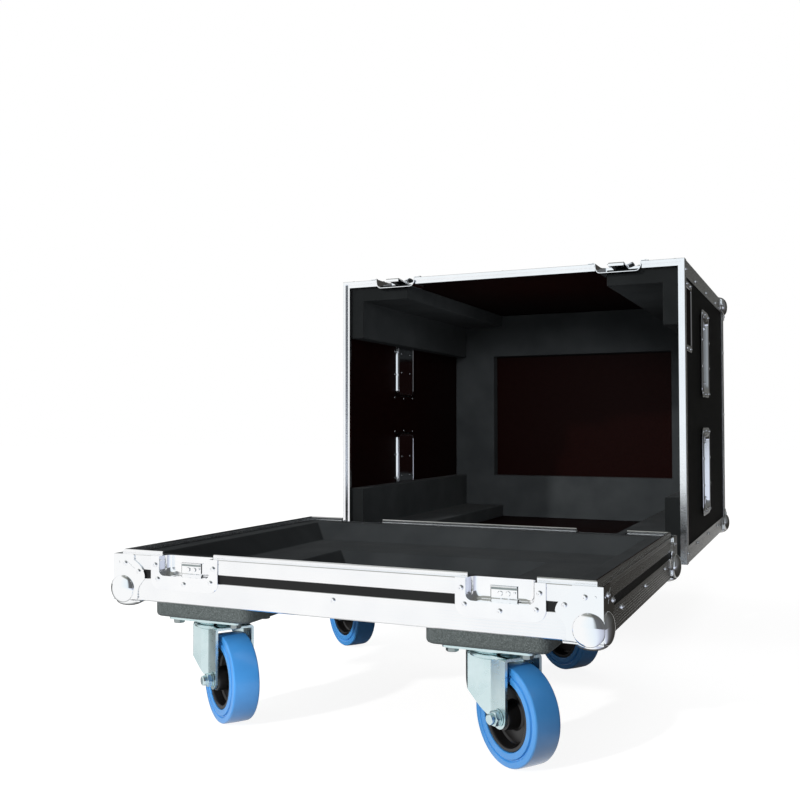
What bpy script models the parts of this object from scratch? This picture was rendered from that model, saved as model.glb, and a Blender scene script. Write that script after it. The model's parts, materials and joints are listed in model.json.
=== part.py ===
"""Speaker flight case: a shallow tray on four swivel castors and a deep lift-off lid.

The lid stands open behind the tray, tipped onto its back, with its mouth towards the front.
Each lid piece is built where it lies on the closed case and hangs from one pivot, which is
turned back by a quarter turn.  In the case's own frame X runs along the width, Y runs back
from the tray's front face, and Z is 0 at the joint between the tray and the lid.
"""
import math

import bmesh
import bpy
from mathutils import Matrix, Vector

# Case, over the aluminium edging
CASE_WIDTH = 0.575
CASE_DEPTH = 0.456
TRAY_HEIGHT = 0.053
LID_HEIGHT = 0.555
PARK_GAP = 0.114
PARK_DROP = 0.056

# Panels and edging
PANEL = 0.007
EDGING = 0.0015
EDGE_LEG = 0.0265
RIM_LEG = 0.017
RIM_INNER_LEG = 0.0065
RIM_WEB = 0.002
FIT = 0.0003

# Tongue on the tray's rim, and the lid's lip outside it
TONGUE_HEIGHT = 0.0045
TONGUE_WIDTH = 0.0032
LIP = 0.0048
TONGUE_PLAY = 0.001
TONGUE_TOP_PLAY = 0.0005

# Foam
FOAM = 0.025
FOAM_SETBACK = 0.012
FOAM_BAND = 0.089
FOAM_PAD_WIDTH = 0.1095
TRAY_FOAM_TOP = 0.0014
TRAY_LEDGE_DROP = 0.025
TRAY_LEDGE_X = 0.081
TRAY_LEDGE_Y = 0.095
POCKET_PLAY = 0.001

# Latches and catches, two at the front and two at the rear
LATCH_INSET = 0.0995
DISH_HALF_WIDTH = 0.035
DISH_DEPTH = 0.014
DISH_DRAFT = 0.003
DISH_CORNER = 0.008
DISH_FLANGE = 0.0115
CATCH_FOOT_FLANGE = 0.016
SHEET = 0.0012
CATCH_HEIGHT = 0.022
LATCH_HEIGHT = 0.052
STRIKE_HALF_WIDTH = 0.0135
STRIKE_TOP = 0.008
STRIKE_HEIGHT = 0.013
STRIKE_REACH = 0.005
STRIKE_SHEET = 0.0015
HOOK_PIVOT_UP = 0.044
HOOK_PIVOT_IN = 0.007
HOOK_HALF_WIDTH = 0.012
HOOK_SHEET = 0.002
HOOK_BITE = 0.0005
HOOK_CURL = 0.0042
HOOK_BARREL = 0.0028
HOOK_REST_ANGLE = math.radians(5)
KEY_UP = 0.026
KEY_HUB_RADIUS = 0.0105
KEY_HUB_HEIGHT = 0.0022
KEY_WING_REACH = 0.020
KEY_WING_HALF_HEIGHT = 0.011
KEY_WING_RISE = 0.007
KEY_WING_SHEET = 0.0018

# Recessed handles, two on each side
HANDLE_SPACING = 0.199
HANDLE_UP = 0.2375
HANDLE_HALF_LENGTH = 0.0625
HANDLE_HALF_WIDTH = 0.0365
HANDLE_DEPTH = 0.0125
HANDLE_CORNER = 0.010
HANDLE_SCREW_ROOM = 0.0055
GRIP_RADIUS = 0.006
GRIP_HALF_LENGTH = 0.046
GRIP_REACH = 0.044
GRIP_PIVOT_UP = 0.028
ARM_WIDTH = 0.009
ARM_SHEET = 0.003
PIN_RADIUS = 0.0025
PIN_END_PLAY = 0.0015

# Ball corners
BALL_RADIUS = 0.019
BALL_PROUD = 0.009
CORNER_SHEET = 0.0013
CORNER_REACH = 0.040
BRACE_REACH = 0.044
BRACE_NECK = 0.0352

# Castors on riser blocks
RISER_LENGTH = 0.130
RISER_DEPTH = 0.092
RISER_HEIGHT = 0.017
RISER_CORNER = 0.012
CASTOR_SIDE_INSET = 0.1175
CASTOR_INSET = 0.049
CASTOR_TRAIL = 0.030
FRONT_SWIVEL = math.radians(-35)
REAR_SWIVEL = math.radians(145)
PLATE_LENGTH = 0.096
PLATE_WIDTH = 0.080
PLATE_SHEET = 0.003
PLATE_BOLT_X = 0.039
PLATE_BOLT_Y = 0.030
BOLT_HEAD = 0.0065
BOLT_HEAD_HEIGHT = 0.005
RACE_RADIUS = 0.033
RACE_HEIGHT = 0.005
KINGPIN_RADIUS = 0.006
KINGPIN_NUT = 0.0095
KINGPIN_NUT_HEIGHT = 0.004
FORK_SHEET = 0.003
FORK_LEAD = 0.026
FORK_FOOT = 0.013
FORK_SHOULDER = 0.022
FORK_BEND_X = 0.0225
FORK_FLARE = 0.0072
WHEEL_RADIUS = 0.050
WHEEL_WIDTH = 0.032
WHEEL_PLAY = 0.004
WHEEL_HEADROOM = 0.0057
TYRE_SIDE_RADIUS = 0.048
TYRE_SHOULDER = 0.0112
TYRE_SEAT_RADIUS = 0.034
TYRE_RING = 0.0035
TYRE_GROOVE = 0.0024
TYRE_RING_DEPTH = 0.0012
CORE_RIM = 0.003
CORE_WEB = 0.006
HUB_RADIUS = 0.014
AXLE_RADIUS = 0.006
AXLE_PLAY = 0.0002
AXLE_HEAD = 0.0095
AXLE_HEAD_HEIGHT = 0.006
AXLE_TAIL = 0.007

# Steps of round forms
FINE = 22
MEDIUM = 16
COARSE = 12
SMALL = 8
CORNER_STEPS = 3

# Worked out from the sizes above
WALL_INSIDE = EDGING + FIT + PANEL
RIM_WIDTH = WALL_INSIDE + FIT + RIM_WEB * 0.6
TONGUE_FROM = LIP + TONGUE_PLAY
LID_GROOVE = TONGUE_HEIGHT + TONGUE_TOP_PLAY
PIVOT_BACK = (PARK_GAP - PARK_DROP) / 2
PIVOT_DOWN = (PARK_GAP + PARK_DROP) / 2
HALF_WIDTH = CASE_WIDTH / 2
LATCH_X = HALF_WIDTH - LATCH_INSET
CASTOR_X = HALF_WIDTH - CASTOR_SIDE_INSET
RACE_BOTTOM = PLATE_SHEET + RACE_HEIGHT
CROWN_TOP = RACE_BOTTOM + FIT
CROWN_BOTTOM = CROWN_TOP + FORK_SHEET
AXLE_DROP = CROWN_BOTTOM + WHEEL_HEADROOM + WHEEL_RADIUS
CASTOR_HEIGHT = AXLE_DROP + WHEEL_RADIUS
FLOOR_DROP = TRAY_HEIGHT + RISER_HEIGHT + CASTOR_HEIGHT
LEG_INSIDE = WHEEL_WIDTH / 2 + WHEEL_PLAY
LEG_OUTSIDE = LEG_INSIDE + FORK_SHEET
REAR_REACH = CASE_DEPTH + PARK_GAP + LID_HEIGHT + BALL_PROUD


def clear_scene():
    for item in list(bpy.data.objects):
        bpy.data.objects.remove(item, do_unlink=True)


def make_material(name, colour, roughness, metallic):
    made = bpy.data.materials.new(name)
    made.use_nodes = True
    shader = made.node_tree.nodes["Principled BSDF"]
    shader.inputs["Base Color"].default_value = (*colour, 1.0)
    shader.inputs["Roughness"].default_value = roughness
    shader.inputs["Metallic"].default_value = metallic
    made.diffuse_color = (*colour, 1.0)
    return made


def make_mesh(name, corners, faces):
    """A mesh whose faces all point out of the solid."""
    mesh = bpy.data.meshes.new(name)
    mesh.from_pydata([tuple(corner) for corner in corners], [], faces)
    work = bmesh.new()
    work.from_mesh(mesh)
    bmesh.ops.recalc_face_normals(work, faces=work.faces)
    work.to_mesh(mesh)
    work.free()
    return mesh


def box(low, high):
    corners = [(x, y, z) for x in (low[0], high[0]) for y in (low[1], high[1])
               for z in (low[2], high[2])]
    faces = [(0, 1, 3, 2), (4, 6, 7, 5), (0, 4, 5, 1), (2, 3, 7, 6), (0, 2, 6, 4), (1, 5, 7, 3)]
    return make_mesh("box", corners, faces)


def prism(outline, axis, low, high):
    """An outline drawn in the two other axes, drawn out along one axis."""
    def place(pair, along):
        point = list(pair)
        point.insert("xyz".index(axis), along)
        return tuple(point)

    count = len(outline)
    corners = [place(pair, low) for pair in outline] + [place(pair, high) for pair in outline]
    faces = [tuple(range(count)), tuple(range(2 * count - 1, count - 1, -1))]
    for here in range(count):
        after = (here + 1) % count
        faces.append((here, after, count + after, count + here))
    return make_mesh("prism", corners, faces)


def turned(profile, steps, axis="z", centre=(0, 0, 0)):
    """A ring or a disc, from a closed profile of (radius, height) pairs."""
    rows = []
    corners = []
    for radius, height in profile:
        ring = []
        for step in range(steps if radius > 0 else 1):
            angle = 2 * math.pi * step / steps - math.pi / 2
            across = (radius * math.cos(angle), radius * math.sin(angle))
            point = list(across)
            point.insert("xyz".index(axis), height)
            ring.append(len(corners))
            corners.append(Vector(point) + Vector(centre))
        rows.append(ring)
    faces = []
    for first, second in zip(rows, rows[1:] + rows[:1]):
        if len(first) == 1 and len(second) == 1:
            continue
        for step in range(steps):
            after = (step + 1) % steps
            face = [first[step % len(first)], second[step % len(second)],
                    second[after % len(second)], first[after % len(first)]]
            faces.append(tuple(dict.fromkeys(face)))
    return make_mesh("turned", corners, faces)


def rod(radius, steps, axis, low, high, centre=(0, 0, 0)):
    profile = [(0, low), (radius, low), (radius, high), (0, high)]
    return turned(profile, steps, axis, centre)


def ring_of(profile, half_width, depth):
    """A profile of (inset, height) pairs, led round the case with mitred corners."""
    count = len(profile)
    corners = []
    for side_x, side_y in ((-1, 0), (1, 0), (1, 1), (-1, 1)):
        for inset, height in profile:
            back = depth - inset if side_y else inset
            corners.append((side_x * (half_width - inset), back, height))
    faces = []
    for corner in range(4):
        after = (corner + 1) % 4
        for here in range(count):
            up = (here + 1) % count
            faces.append((corner * count + here, corner * count + up,
                          after * count + up, after * count + here))
    return make_mesh("ring", corners, faces)


def moved(mesh, matrix):
    """A copy of a mesh, moved or turned over."""
    made = mesh.copy()
    made.transform(matrix)
    if matrix.to_3x3().determinant() < 0:
        made.flip_normals()
    return made


def at(x, y, z):
    return Matrix.Translation((x, y, z))


def combined(name, base, adds=(), cuts=(), keeps=()):
    """One mesh, from a base with other meshes added, cut away, or kept where they meet it."""
    body = bpy.data.objects.new(name, base)
    bpy.context.scene.collection.objects.link(body)
    tools = []
    for meshes, operation in ((adds, "UNION"), (cuts, "DIFFERENCE"), (keeps, "INTERSECT")):
        for mesh in meshes:
            tool = bpy.data.objects.new("tool", mesh)
            bpy.context.scene.collection.objects.link(tool)
            change = body.modifiers.new(operation.lower(), "BOOLEAN")
            change.operation = operation
            change.solver = "EXACT"
            change.object = tool
            tools.append(tool)
    bpy.context.view_layer.update()
    settled = body.evaluated_get(bpy.context.evaluated_depsgraph_get())
    mesh = bpy.data.meshes.new_from_object(settled)
    mesh.name = name
    for item in tools + [body]:
        bpy.data.objects.remove(item, do_unlink=True)
    return mesh


def thickened(mesh, thickness):
    """A sheet made solid on the side its faces point away from."""
    body = bpy.data.objects.new("sheet", mesh)
    bpy.context.scene.collection.objects.link(body)
    change = body.modifiers.new("thickness", "SOLIDIFY")
    change.thickness = thickness
    change.offset = -1
    change.use_even_offset = True
    bpy.context.view_layer.update()
    settled = body.evaluated_get(bpy.context.evaluated_depsgraph_get())
    made = bpy.data.meshes.new_from_object(settled)
    bpy.data.objects.remove(body, do_unlink=True)
    return made


def put(name, mesh, finish, parent, location=(0, 0, 0), rotation=(0, 0, 0), smooth=False):
    """A named sub-part of the case."""
    item = bpy.data.objects.new(name, mesh)
    bpy.context.scene.collection.objects.link(item)
    mesh.materials.clear()
    mesh.materials.append(finish)
    item.parent = parent
    item.location = location
    item.rotation_euler = rotation
    if smooth:
        mesh.shade_smooth()
        mesh.set_sharp_from_angle(angle=math.radians(35))
    return item


def empty(name, parent, location, rotation=(0, 0, 0)):
    item = bpy.data.objects.new(name, None)
    bpy.context.scene.collection.objects.link(item)
    item.empty_display_size = 0.03
    item.parent = parent
    item.location = location
    item.rotation_euler = rotation
    return item


def arc(centre, radius, start, end, steps):
    points = []
    for step in range(steps + 1):
        angle = math.radians(start + (end - start) * step / steps)
        points.append((centre[0] + radius * math.cos(angle),
                       centre[1] + radius * math.sin(angle)))
    return points


def rounded(half_u, half_v, radius, steps=CORNER_STEPS):
    """A rectangle with round corners, anticlockwise from its right-hand side."""
    outline = []
    for side_u, side_v, start in ((1, 1, 0), (-1, 1, 90), (-1, -1, 180), (1, -1, 270)):
        centre = (side_u * (half_u - radius), side_v * (half_v - radius))
        outline += arc(centre, radius, start, start + 90, steps)
    return outline


def open_pan(half_width, height, radius):
    """The outline of a pan that is open at height 0, from its left end round to its right."""
    outline = [(-half_width, 0)]
    outline += [(-half_width + radius - u, height - radius + v) for u, v in
                arc((0, 0), radius, 0, 90, CORNER_STEPS)]
    outline += [(half_width - radius + u, height - radius + v) for u, v in
                arc((0, 0), radius, 90, 0, CORNER_STEPS)]
    return outline + [(half_width, 0)]


def pressed_sheet(outlines, depths, closed):
    """A pressed dish: outlines of equal length at their depths, with the last one filled."""
    count = len(outlines[0])
    corners = [(u, v, depth) for outline, depth in zip(outlines, depths) for u, v in outline]
    faces = []
    last = count if closed else count - 1
    for row in range(len(outlines) - 1):
        for here in range(last):
            after = (here + 1) % count
            faces.append((row * count + here, row * count + after,
                          (row + 1) * count + after, (row + 1) * count + here))
    floor = (len(outlines) - 1) * count
    for here in range(count // 2 - 1):
        faces.append((floor + here, floor + here + 1, floor + count - 2 - here,
                      floor + count - 1 - here))
    mesh = bpy.data.meshes.new("sheet")
    mesh.from_pydata(corners, [], faces)
    work = bmesh.new()
    work.from_mesh(mesh)
    bmesh.ops.recalc_face_normals(work, faces=work.faces)
    work.faces.ensure_lookup_table()
    if work.faces[-1].normal.z > 0:
        bmesh.ops.reverse_faces(work, faces=work.faces)
    work.to_mesh(mesh)
    work.free()
    return mesh


def latch_pan(height, foot_flange):
    """Half of a latch's recess, in (across, away from the joint, inwards)."""
    outlines = [open_pan(DISH_HALF_WIDTH + DISH_FLANGE, height + foot_flange,
                         DISH_CORNER + DISH_FLANGE),
                open_pan(DISH_HALF_WIDTH, height, DISH_CORNER),
                open_pan(DISH_HALF_WIDTH - DISH_DRAFT, height - DISH_DRAFT,
                         DISH_CORNER - DISH_DRAFT)]
    face = -FIT - SHEET
    return thickened(pressed_sheet(outlines, [face, face, DISH_DEPTH], False), SHEET)


def latch_places(mesh):
    """A mesh made for the front, at each of the four latch places."""
    rear = at(0, CASE_DEPTH, 0) @ Matrix.Rotation(math.pi, 4, "Z")
    left = at(-LATCH_X, 0, 0)
    right = at(LATCH_X, 0, 0)
    return [moved(mesh, left), moved(mesh, right),
            moved(mesh, rear @ left), moved(mesh, rear @ right)]


def latch_cuts(low, high, depth, play=0.0):
    """The four boxes that make room for a latch's recess."""
    half = DISH_HALF_WIDTH + SHEET + play
    return latch_places(box((-half, -EDGE_LEG, low), (half, depth, high)))


def rim_notches(low, high):
    """Notches whose sides end inside the sheet of the pans."""
    half = DISH_HALF_WIDTH + SHEET / 2
    return latch_places(box((-half, -EDGE_LEG, low), (half, EDGE_LEG, high)))


def tray_rim_mesh():
    """Rim channel with its tongue, and the four catches riveted into it."""
    tongue_to = TONGUE_FROM + TONGUE_WIDTH
    lead = TONGUE_WIDTH * 0.2
    profile = [(0, -RIM_LEG), (0, 0), (TONGUE_FROM, 0), (TONGUE_FROM, TONGUE_HEIGHT - lead),
               (TONGUE_FROM + lead, TONGUE_HEIGHT), (tongue_to - lead, TONGUE_HEIGHT),
               (tongue_to, TONGUE_HEIGHT - lead), (tongue_to, 0), (RIM_WIDTH, 0),
               (RIM_WIDTH, -RIM_INNER_LEG), (WALL_INSIDE + FIT, -RIM_INNER_LEG),
               (WALL_INSIDE + FIT, -RIM_WEB), (EDGING, -RIM_WEB), (EDGING, -RIM_LEG)]
    ring = ring_of(profile, HALF_WIDTH, CASE_DEPTH)
    ring = combined("tray_rim", ring, cuts=rim_notches(-EDGE_LEG, EDGE_LEG))
    back = DISH_DEPTH + SHEET / 2
    strike = [(back, -STRIKE_TOP), (DISH_DEPTH - STRIKE_REACH, -STRIKE_TOP),
              (DISH_DEPTH - STRIKE_REACH, -STRIKE_TOP - STRIKE_SHEET),
              (DISH_DEPTH - STRIKE_SHEET, -STRIKE_TOP - STRIKE_SHEET),
              (DISH_DEPTH - STRIKE_SHEET, -STRIKE_TOP - STRIKE_HEIGHT),
              (back, -STRIKE_TOP - STRIKE_HEIGHT)]
    strike = prism(strike, "x", -STRIKE_HALF_WIDTH, STRIKE_HALF_WIDTH)
    downwards = Matrix(((1, 0, 0, 0), (0, 0, 1, 0), (0, -1, 0, 0), (0, 0, 0, 1)))
    catch = combined("catch", moved(latch_pan(CATCH_HEIGHT, CATCH_FOOT_FLANGE), downwards), adds=[strike])
    return combined("tray_rim", ring, adds=latch_places(catch))


def lid_rim_mesh():
    """Rim channel with its lip outside the tongue, and the four latch recesses."""
    foot = FIT
    web = LID_GROOVE + RIM_WEB
    profile = [(0, foot), (0, RIM_LEG), (EDGING, RIM_LEG), (EDGING, web),
               (WALL_INSIDE + FIT, web), (WALL_INSIDE + FIT, LID_GROOVE + RIM_INNER_LEG),
               (RIM_WIDTH, LID_GROOVE + RIM_INNER_LEG), (RIM_WIDTH, LID_GROOVE),
               (LIP, LID_GROOVE), (LIP, foot)]
    ring = ring_of(profile, HALF_WIDTH, CASE_DEPTH)
    ring = combined("lid_rim", ring, cuts=rim_notches(-EDGE_LEG, EDGE_LEG))
    upwards = Matrix(((1, 0, 0, 0), (0, 0, 1, 0), (0, 1, 0, foot), (0, 0, 0, 1)))
    block_from = HOOK_PIVOT_IN + HOOK_BARREL + FIT
    block = box((-HOOK_HALF_WIDTH, block_from, HOOK_PIVOT_UP - HOOK_BARREL),
                (HOOK_HALF_WIDTH, DISH_DEPTH + SHEET / 2, HOOK_PIVOT_UP + HOOK_BARREL))
    recess = combined("recess", moved(latch_pan(LATCH_HEIGHT, DISH_FLANGE), upwards), adds=[block])
    return combined("lid_rim", ring, adds=latch_places(recess))


def tray_shell_mesh():
    """Bottom panel and four low walls, open at the top."""
    inset = EDGING + FIT
    low = (-HALF_WIDTH + inset, inset, -TRAY_HEIGHT + inset)
    high = (HALF_WIDTH - inset, CASE_DEPTH - inset, -RIM_WEB - FIT)
    room = box((-HALF_WIDTH + WALL_INSIDE, WALL_INSIDE, -TRAY_HEIGHT + WALL_INSIDE),
               (HALF_WIDTH - WALL_INSIDE, CASE_DEPTH - WALL_INSIDE, EDGE_LEG))
    notches = latch_cuts(-CATCH_HEIGHT - SHEET - POCKET_PLAY, EDGE_LEG, EDGE_LEG, POCKET_PLAY)
    return combined("tray_shell", box(low, high), cuts=[room] + notches)


def tray_edge_mesh():
    """Angle edging round the bottom of the tray."""
    low = -TRAY_HEIGHT
    profile = [(0, low), (0, low + EDGE_LEG), (EDGING, low + EDGE_LEG), (EDGING, low + EDGING),
               (EDGE_LEG, low + EDGING), (EDGE_LEG, low)]
    return ring_of(profile, HALF_WIDTH, CASE_DEPTH)


def funnel(top_x, top_y, top_z, bottom_z, run):
    """A rectangular hole whose sides lean in at the bottom by the given run."""
    middle = CASE_DEPTH / 2
    corners = []
    for z, half_x, half_y in ((top_z, top_x, top_y), (bottom_z, top_x - run, top_y - run)):
        corners += [(-half_x, middle - half_y, z), (half_x, middle - half_y, z),
                    (half_x, middle + half_y, z), (-half_x, middle + half_y, z)]
    faces = [(0, 1, 2, 3), (7, 6, 5, 4), (0, 4, 5, 1), (1, 5, 6, 2), (2, 6, 7, 3), (3, 7, 4, 0)]
    return make_mesh("funnel", corners, faces)


def tray_foam_mesh():
    """Foam liner with a sloped edge, a ledge for the speaker and a sloped window."""
    outer = RIM_WIDTH + FIT
    low = -TRAY_HEIGHT + WALL_INSIDE + FIT
    block = box((-HALF_WIDTH + outer, outer, low),
                (HALF_WIDTH - outer, CASE_DEPTH - outer, -TRAY_FOAM_TOP))
    top_x = HALF_WIDTH - WALL_INSIDE - FOAM
    top_y = CASE_DEPTH / 2 - WALL_INSIDE - FOAM
    ledge = -TRAY_LEDGE_DROP
    slope = TRAY_LEDGE_DROP - TRAY_FOAM_TOP
    basin = funnel(top_x + POCKET_PLAY, top_y + POCKET_PLAY, -TRAY_FOAM_TOP + POCKET_PLAY, ledge,
                   slope + POCKET_PLAY)
    deep = low - POCKET_PLAY
    window_x = top_x - slope - TRAY_LEDGE_X
    window_y = top_y - slope - TRAY_LEDGE_Y
    window = funnel(window_x + POCKET_PLAY, window_y + POCKET_PLAY, ledge + POCKET_PLAY, deep,
                    ledge + POCKET_PLAY - deep)
    pocket_low = -CATCH_HEIGHT - SHEET - POCKET_PLAY
    pockets = latch_cuts(pocket_low, EDGE_LEG, DISH_DEPTH + SHEET + POCKET_PLAY, POCKET_PLAY)
    return combined("tray_foam", block, cuts=[basin, window] + pockets)


def handle_centres():
    middle = CASE_DEPTH / 2
    return [middle - HANDLE_SPACING / 2, middle + HANDLE_SPACING / 2]


def handle_cut(side, centre_y, reach):
    """The box that makes room for a handle's pan in one side of the lid."""
    half_y = HANDLE_HALF_LENGTH + SHEET + POCKET_PLAY
    half_z = HANDLE_HALF_WIDTH + SHEET + POCKET_PLAY
    near = side * (HALF_WIDTH + EDGE_LEG)
    far = side * (HALF_WIDTH - reach)
    return box((min(near, far), centre_y - half_y, HANDLE_UP - half_z),
               (max(near, far), centre_y + half_y, HANDLE_UP + half_z))


def lid_panels():
    """Five flat panels: the sides run between the front and the rear, and the top caps them."""
    inset = EDGING + FIT
    low = LID_GROOVE + RIM_WEB + FIT
    top = LID_HEIGHT - inset
    under = top - PANEL - FIT
    outer_x = HALF_WIDTH - inset
    notches = latch_cuts(-EDGE_LEG, LATCH_HEIGHT + SHEET + POCKET_PLAY, EDGE_LEG, POCKET_PLAY)
    front = box((-outer_x, inset, low), (outer_x, inset + PANEL, under))
    rear = box((-outer_x, CASE_DEPTH - inset - PANEL, low), (outer_x, CASE_DEPTH - inset, under))
    panels = {"lid_front_panel": combined("lid_front_panel", front, cuts=notches[:2]),
              "lid_rear_panel": combined("lid_rear_panel", rear, cuts=notches[2:]),
              "lid_top_panel": box((-outer_x, inset, top - PANEL),
                                   (outer_x, CASE_DEPTH - inset, top))}
    side_from = inset + PANEL + FIT
    for name, side in (("lid_left_panel", -1), ("lid_right_panel", 1)):
        near = side * outer_x
        far = side * (outer_x - PANEL)
        sheet = box((min(near, far), side_from, low),
                    (max(near, far), CASE_DEPTH - side_from, under))
        cuts = [handle_cut(side, centre, EDGE_LEG) for centre in handle_centres()]
        panels[name] = combined(name, sheet, cuts=cuts)
    return panels


def lid_edges_mesh():
    """Angle edging: a frame round the top, and an angle down each of the four corners."""
    top = LID_HEIGHT
    profile = [(0, top - EDGE_LEG), (0, top), (EDGE_LEG, top), (EDGE_LEG, top - EDGING),
               (EDGING, top - EDGING), (EDGING, top - EDGE_LEG)]
    ring = ring_of(profile, HALF_WIDTH, CASE_DEPTH)
    outside = EDGING * 0.06
    inside = EDGING * 0.94
    angle = [(outside, outside), (EDGE_LEG, outside), (EDGE_LEG, inside), (inside, inside),
             (inside, EDGE_LEG), (outside, EDGE_LEG)]
    bars = []
    for side_x in (-1, 1):
        for rear in (False, True):
            outline = [(side_x * (HALF_WIDTH - across), CASE_DEPTH - back if rear else back)
                       for across, back in angle]
            bars.append(prism(outline, "z", RIM_LEG + FIT, top - EDGING / 2))
    return combined("lid_edges", ring, adds=bars)


def lid_foam_mesh():
    """Foam strips along the four upright corners, and a foam frame under the top panel."""
    near = WALL_INSIDE + FIT
    far = near + FOAM
    top = LID_HEIGHT - EDGING - FIT - PANEL - 2 * FIT
    band = near + FOAM_BAND
    pad = HALF_WIDTH - near - FOAM_PAD_WIDTH
    frame = box((-HALF_WIDTH + near, near, top - FOAM), (HALF_WIDTH - near, CASE_DEPTH - near, top))
    window = box((-HALF_WIDTH + band, band, top - 2 * FOAM),
                 (HALF_WIDTH - band, CASE_DEPTH - band, top + FOAM))
    frame = combined("frame", frame, cuts=[window])
    strips = []
    for side in (-1, 1):
        for rear in (False, True):
            angle = [(side * pad, near), (side * (HALF_WIDTH - near), near),
                     (side * (HALF_WIDTH - near), band), (side * (HALF_WIDTH - far), band),
                     (side * (HALF_WIDTH - far), far), (side * pad, far)]
            outline = [(x, CASE_DEPTH - y if rear else y) for x, y in angle]
            strips.append(prism(outline, "z", FOAM_SETBACK, top - FOAM / 2))
    pockets = latch_cuts(-EDGE_LEG, LATCH_HEIGHT + SHEET + POCKET_PLAY,
                         DISH_DEPTH + SHEET + POCKET_PLAY, POCKET_PLAY)
    reach = HANDLE_DEPTH + SHEET + HANDLE_SCREW_ROOM
    pockets += [handle_cut(side, centre, reach) for side in (-1, 1)
                for centre in handle_centres()]
    return combined("lid_foam", frame, adds=strips, cuts=pockets)


def corner_mesh(outlines):
    """A ball corner for the front right bottom corner, drawn with that corner at 0, 0, 0."""
    leaf = CORNER_SHEET + FIT
    front, side, bottom = outlines
    leaves = [prism([(leaf - u, v - leaf) for u, v in front], "y", -leaf, EDGING),
              prism([(u - leaf, v - leaf) for u, v in side], "x", -EDGING, leaf),
              prism([(leaf - u, v - leaf) for u, v in bottom], "z", -leaf, EDGING)]
    inset = BALL_RADIUS - BALL_PROUD
    ball = bpy.data.meshes.new("ball")
    work = bmesh.new()
    bmesh.ops.create_uvsphere(work, u_segments=COARSE, v_segments=SMALL, radius=BALL_RADIUS)
    work.to_mesh(ball)
    work.free()
    ball.transform(at(-inset, inset, inset))
    room = 4 * BALL_RADIUS
    inside = box((-room, -FIT, -FIT), (FIT, room, room))
    return combined("corner", ball, adds=leaves, cuts=[inside])


def brace_outline():
    """A leaf as tall as the tray, with a lobe round its middle rivet."""
    reach = BRACE_REACH
    neck = BRACE_NECK
    tall = TRAY_HEIGHT + CORNER_SHEET
    return [(0, 0), (neck * 0.9, 0), (neck, tall * 0.12), (neck, tall * 0.4), (reach, tall * 0.56),
            (reach, tall * 0.68), (neck, tall * 0.82), (neck, tall), (0, tall)]


def round_leaf(reach):
    """A leaf with a waist on each side of its middle lobe."""
    return [(0, 0), (reach, 0), (reach * 0.98, reach * 0.25), (reach * 0.72, reach * 0.5),
            (reach * 0.62, reach * 0.62), (reach * 0.5, reach * 0.72),
            (reach * 0.25, reach * 0.98), (0, reach)]


def spread_corners(mesh, turn_over):
    """A bottom corner piece, at all four corners of the tray, or turned over for the lid."""
    flip_x = Matrix.Scale(-1, 4, (1, 0, 0))
    flip_y = at(0, CASE_DEPTH, 0) @ Matrix.Scale(-1, 4, (0, 1, 0))
    right = at(HALF_WIDTH, 0, 0)
    places = {"front_right": right, "front_left": flip_x @ right,
              "rear_right": flip_y @ right, "rear_left": flip_y @ flip_x @ right}
    return {name: moved(mesh, turn_over @ matrix) for name, matrix in places.items()}


def add_corners(finish, case, lid):
    brace = brace_outline()
    tray = corner_mesh((brace, brace, round_leaf(CORNER_REACH)))
    for place, mesh in spread_corners(tray, at(0, 0, -TRAY_HEIGHT)).items():
        put(f"tray_corner_{place}", mesh, finish, case, smooth=True)
    plain = round_leaf(CORNER_REACH)
    upper = corner_mesh((plain, plain, plain))
    turn_over = at(0, 0, LID_HEIGHT) @ Matrix.Scale(-1, 4, (0, 0, 1))
    for place, mesh in spread_corners(upper, turn_over).items():
        put(f"lid_corner_{place}", mesh, finish, lid, smooth=True)


def handle_dish_mesh():
    """A handle's pressed dish, in (across, up, inwards)."""
    outlines = [rounded(HANDLE_HALF_LENGTH + DISH_FLANGE, HANDLE_HALF_WIDTH + DISH_FLANGE,
                        HANDLE_CORNER + DISH_FLANGE / 2),
                rounded(HANDLE_HALF_LENGTH, HANDLE_HALF_WIDTH, HANDLE_CORNER),
                rounded(HANDLE_HALF_LENGTH - DISH_DRAFT, HANDLE_HALF_WIDTH - DISH_DRAFT,
                        HANDLE_CORNER - DISH_DRAFT)]
    face = -FIT - SHEET
    outlines = [outline[CORNER_STEPS + 1:] + outline[:CORNER_STEPS + 1] for outline in outlines]
    return thickened(pressed_sheet(outlines, [face, face, HANDLE_DEPTH], True), SHEET)


def handle_grip_mesh():
    """A bail about its pivot: a round grip, two arms and their pins."""
    grip = rod(GRIP_RADIUS, COARSE, "y", -GRIP_HALF_LENGTH - ARM_SHEET / 2,
               GRIP_HALF_LENGTH + ARM_SHEET / 2, (0, 0, -GRIP_REACH))
    half = ARM_WIDTH / 2
    outline = arc((0, 0), half, 0, 180, CORNER_STEPS)
    outline += arc((0, -GRIP_REACH), half, 180, 360, CORNER_STEPS)
    pin_end = HANDLE_HALF_LENGTH - DISH_DRAFT / 2 - PIN_END_PLAY
    arms = []
    for side in (-1, 1):
        near = side * GRIP_HALF_LENGTH
        far = side * (GRIP_HALF_LENGTH + ARM_SHEET)
        arms.append(prism(outline, "y", min(near, far), max(near, far)))
        end = side * pin_end
        arms.append(rod(PIN_RADIUS, SMALL, "y", min(near, end), max(near, end)))
    return combined("handle_grip", grip, adds=arms)


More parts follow.
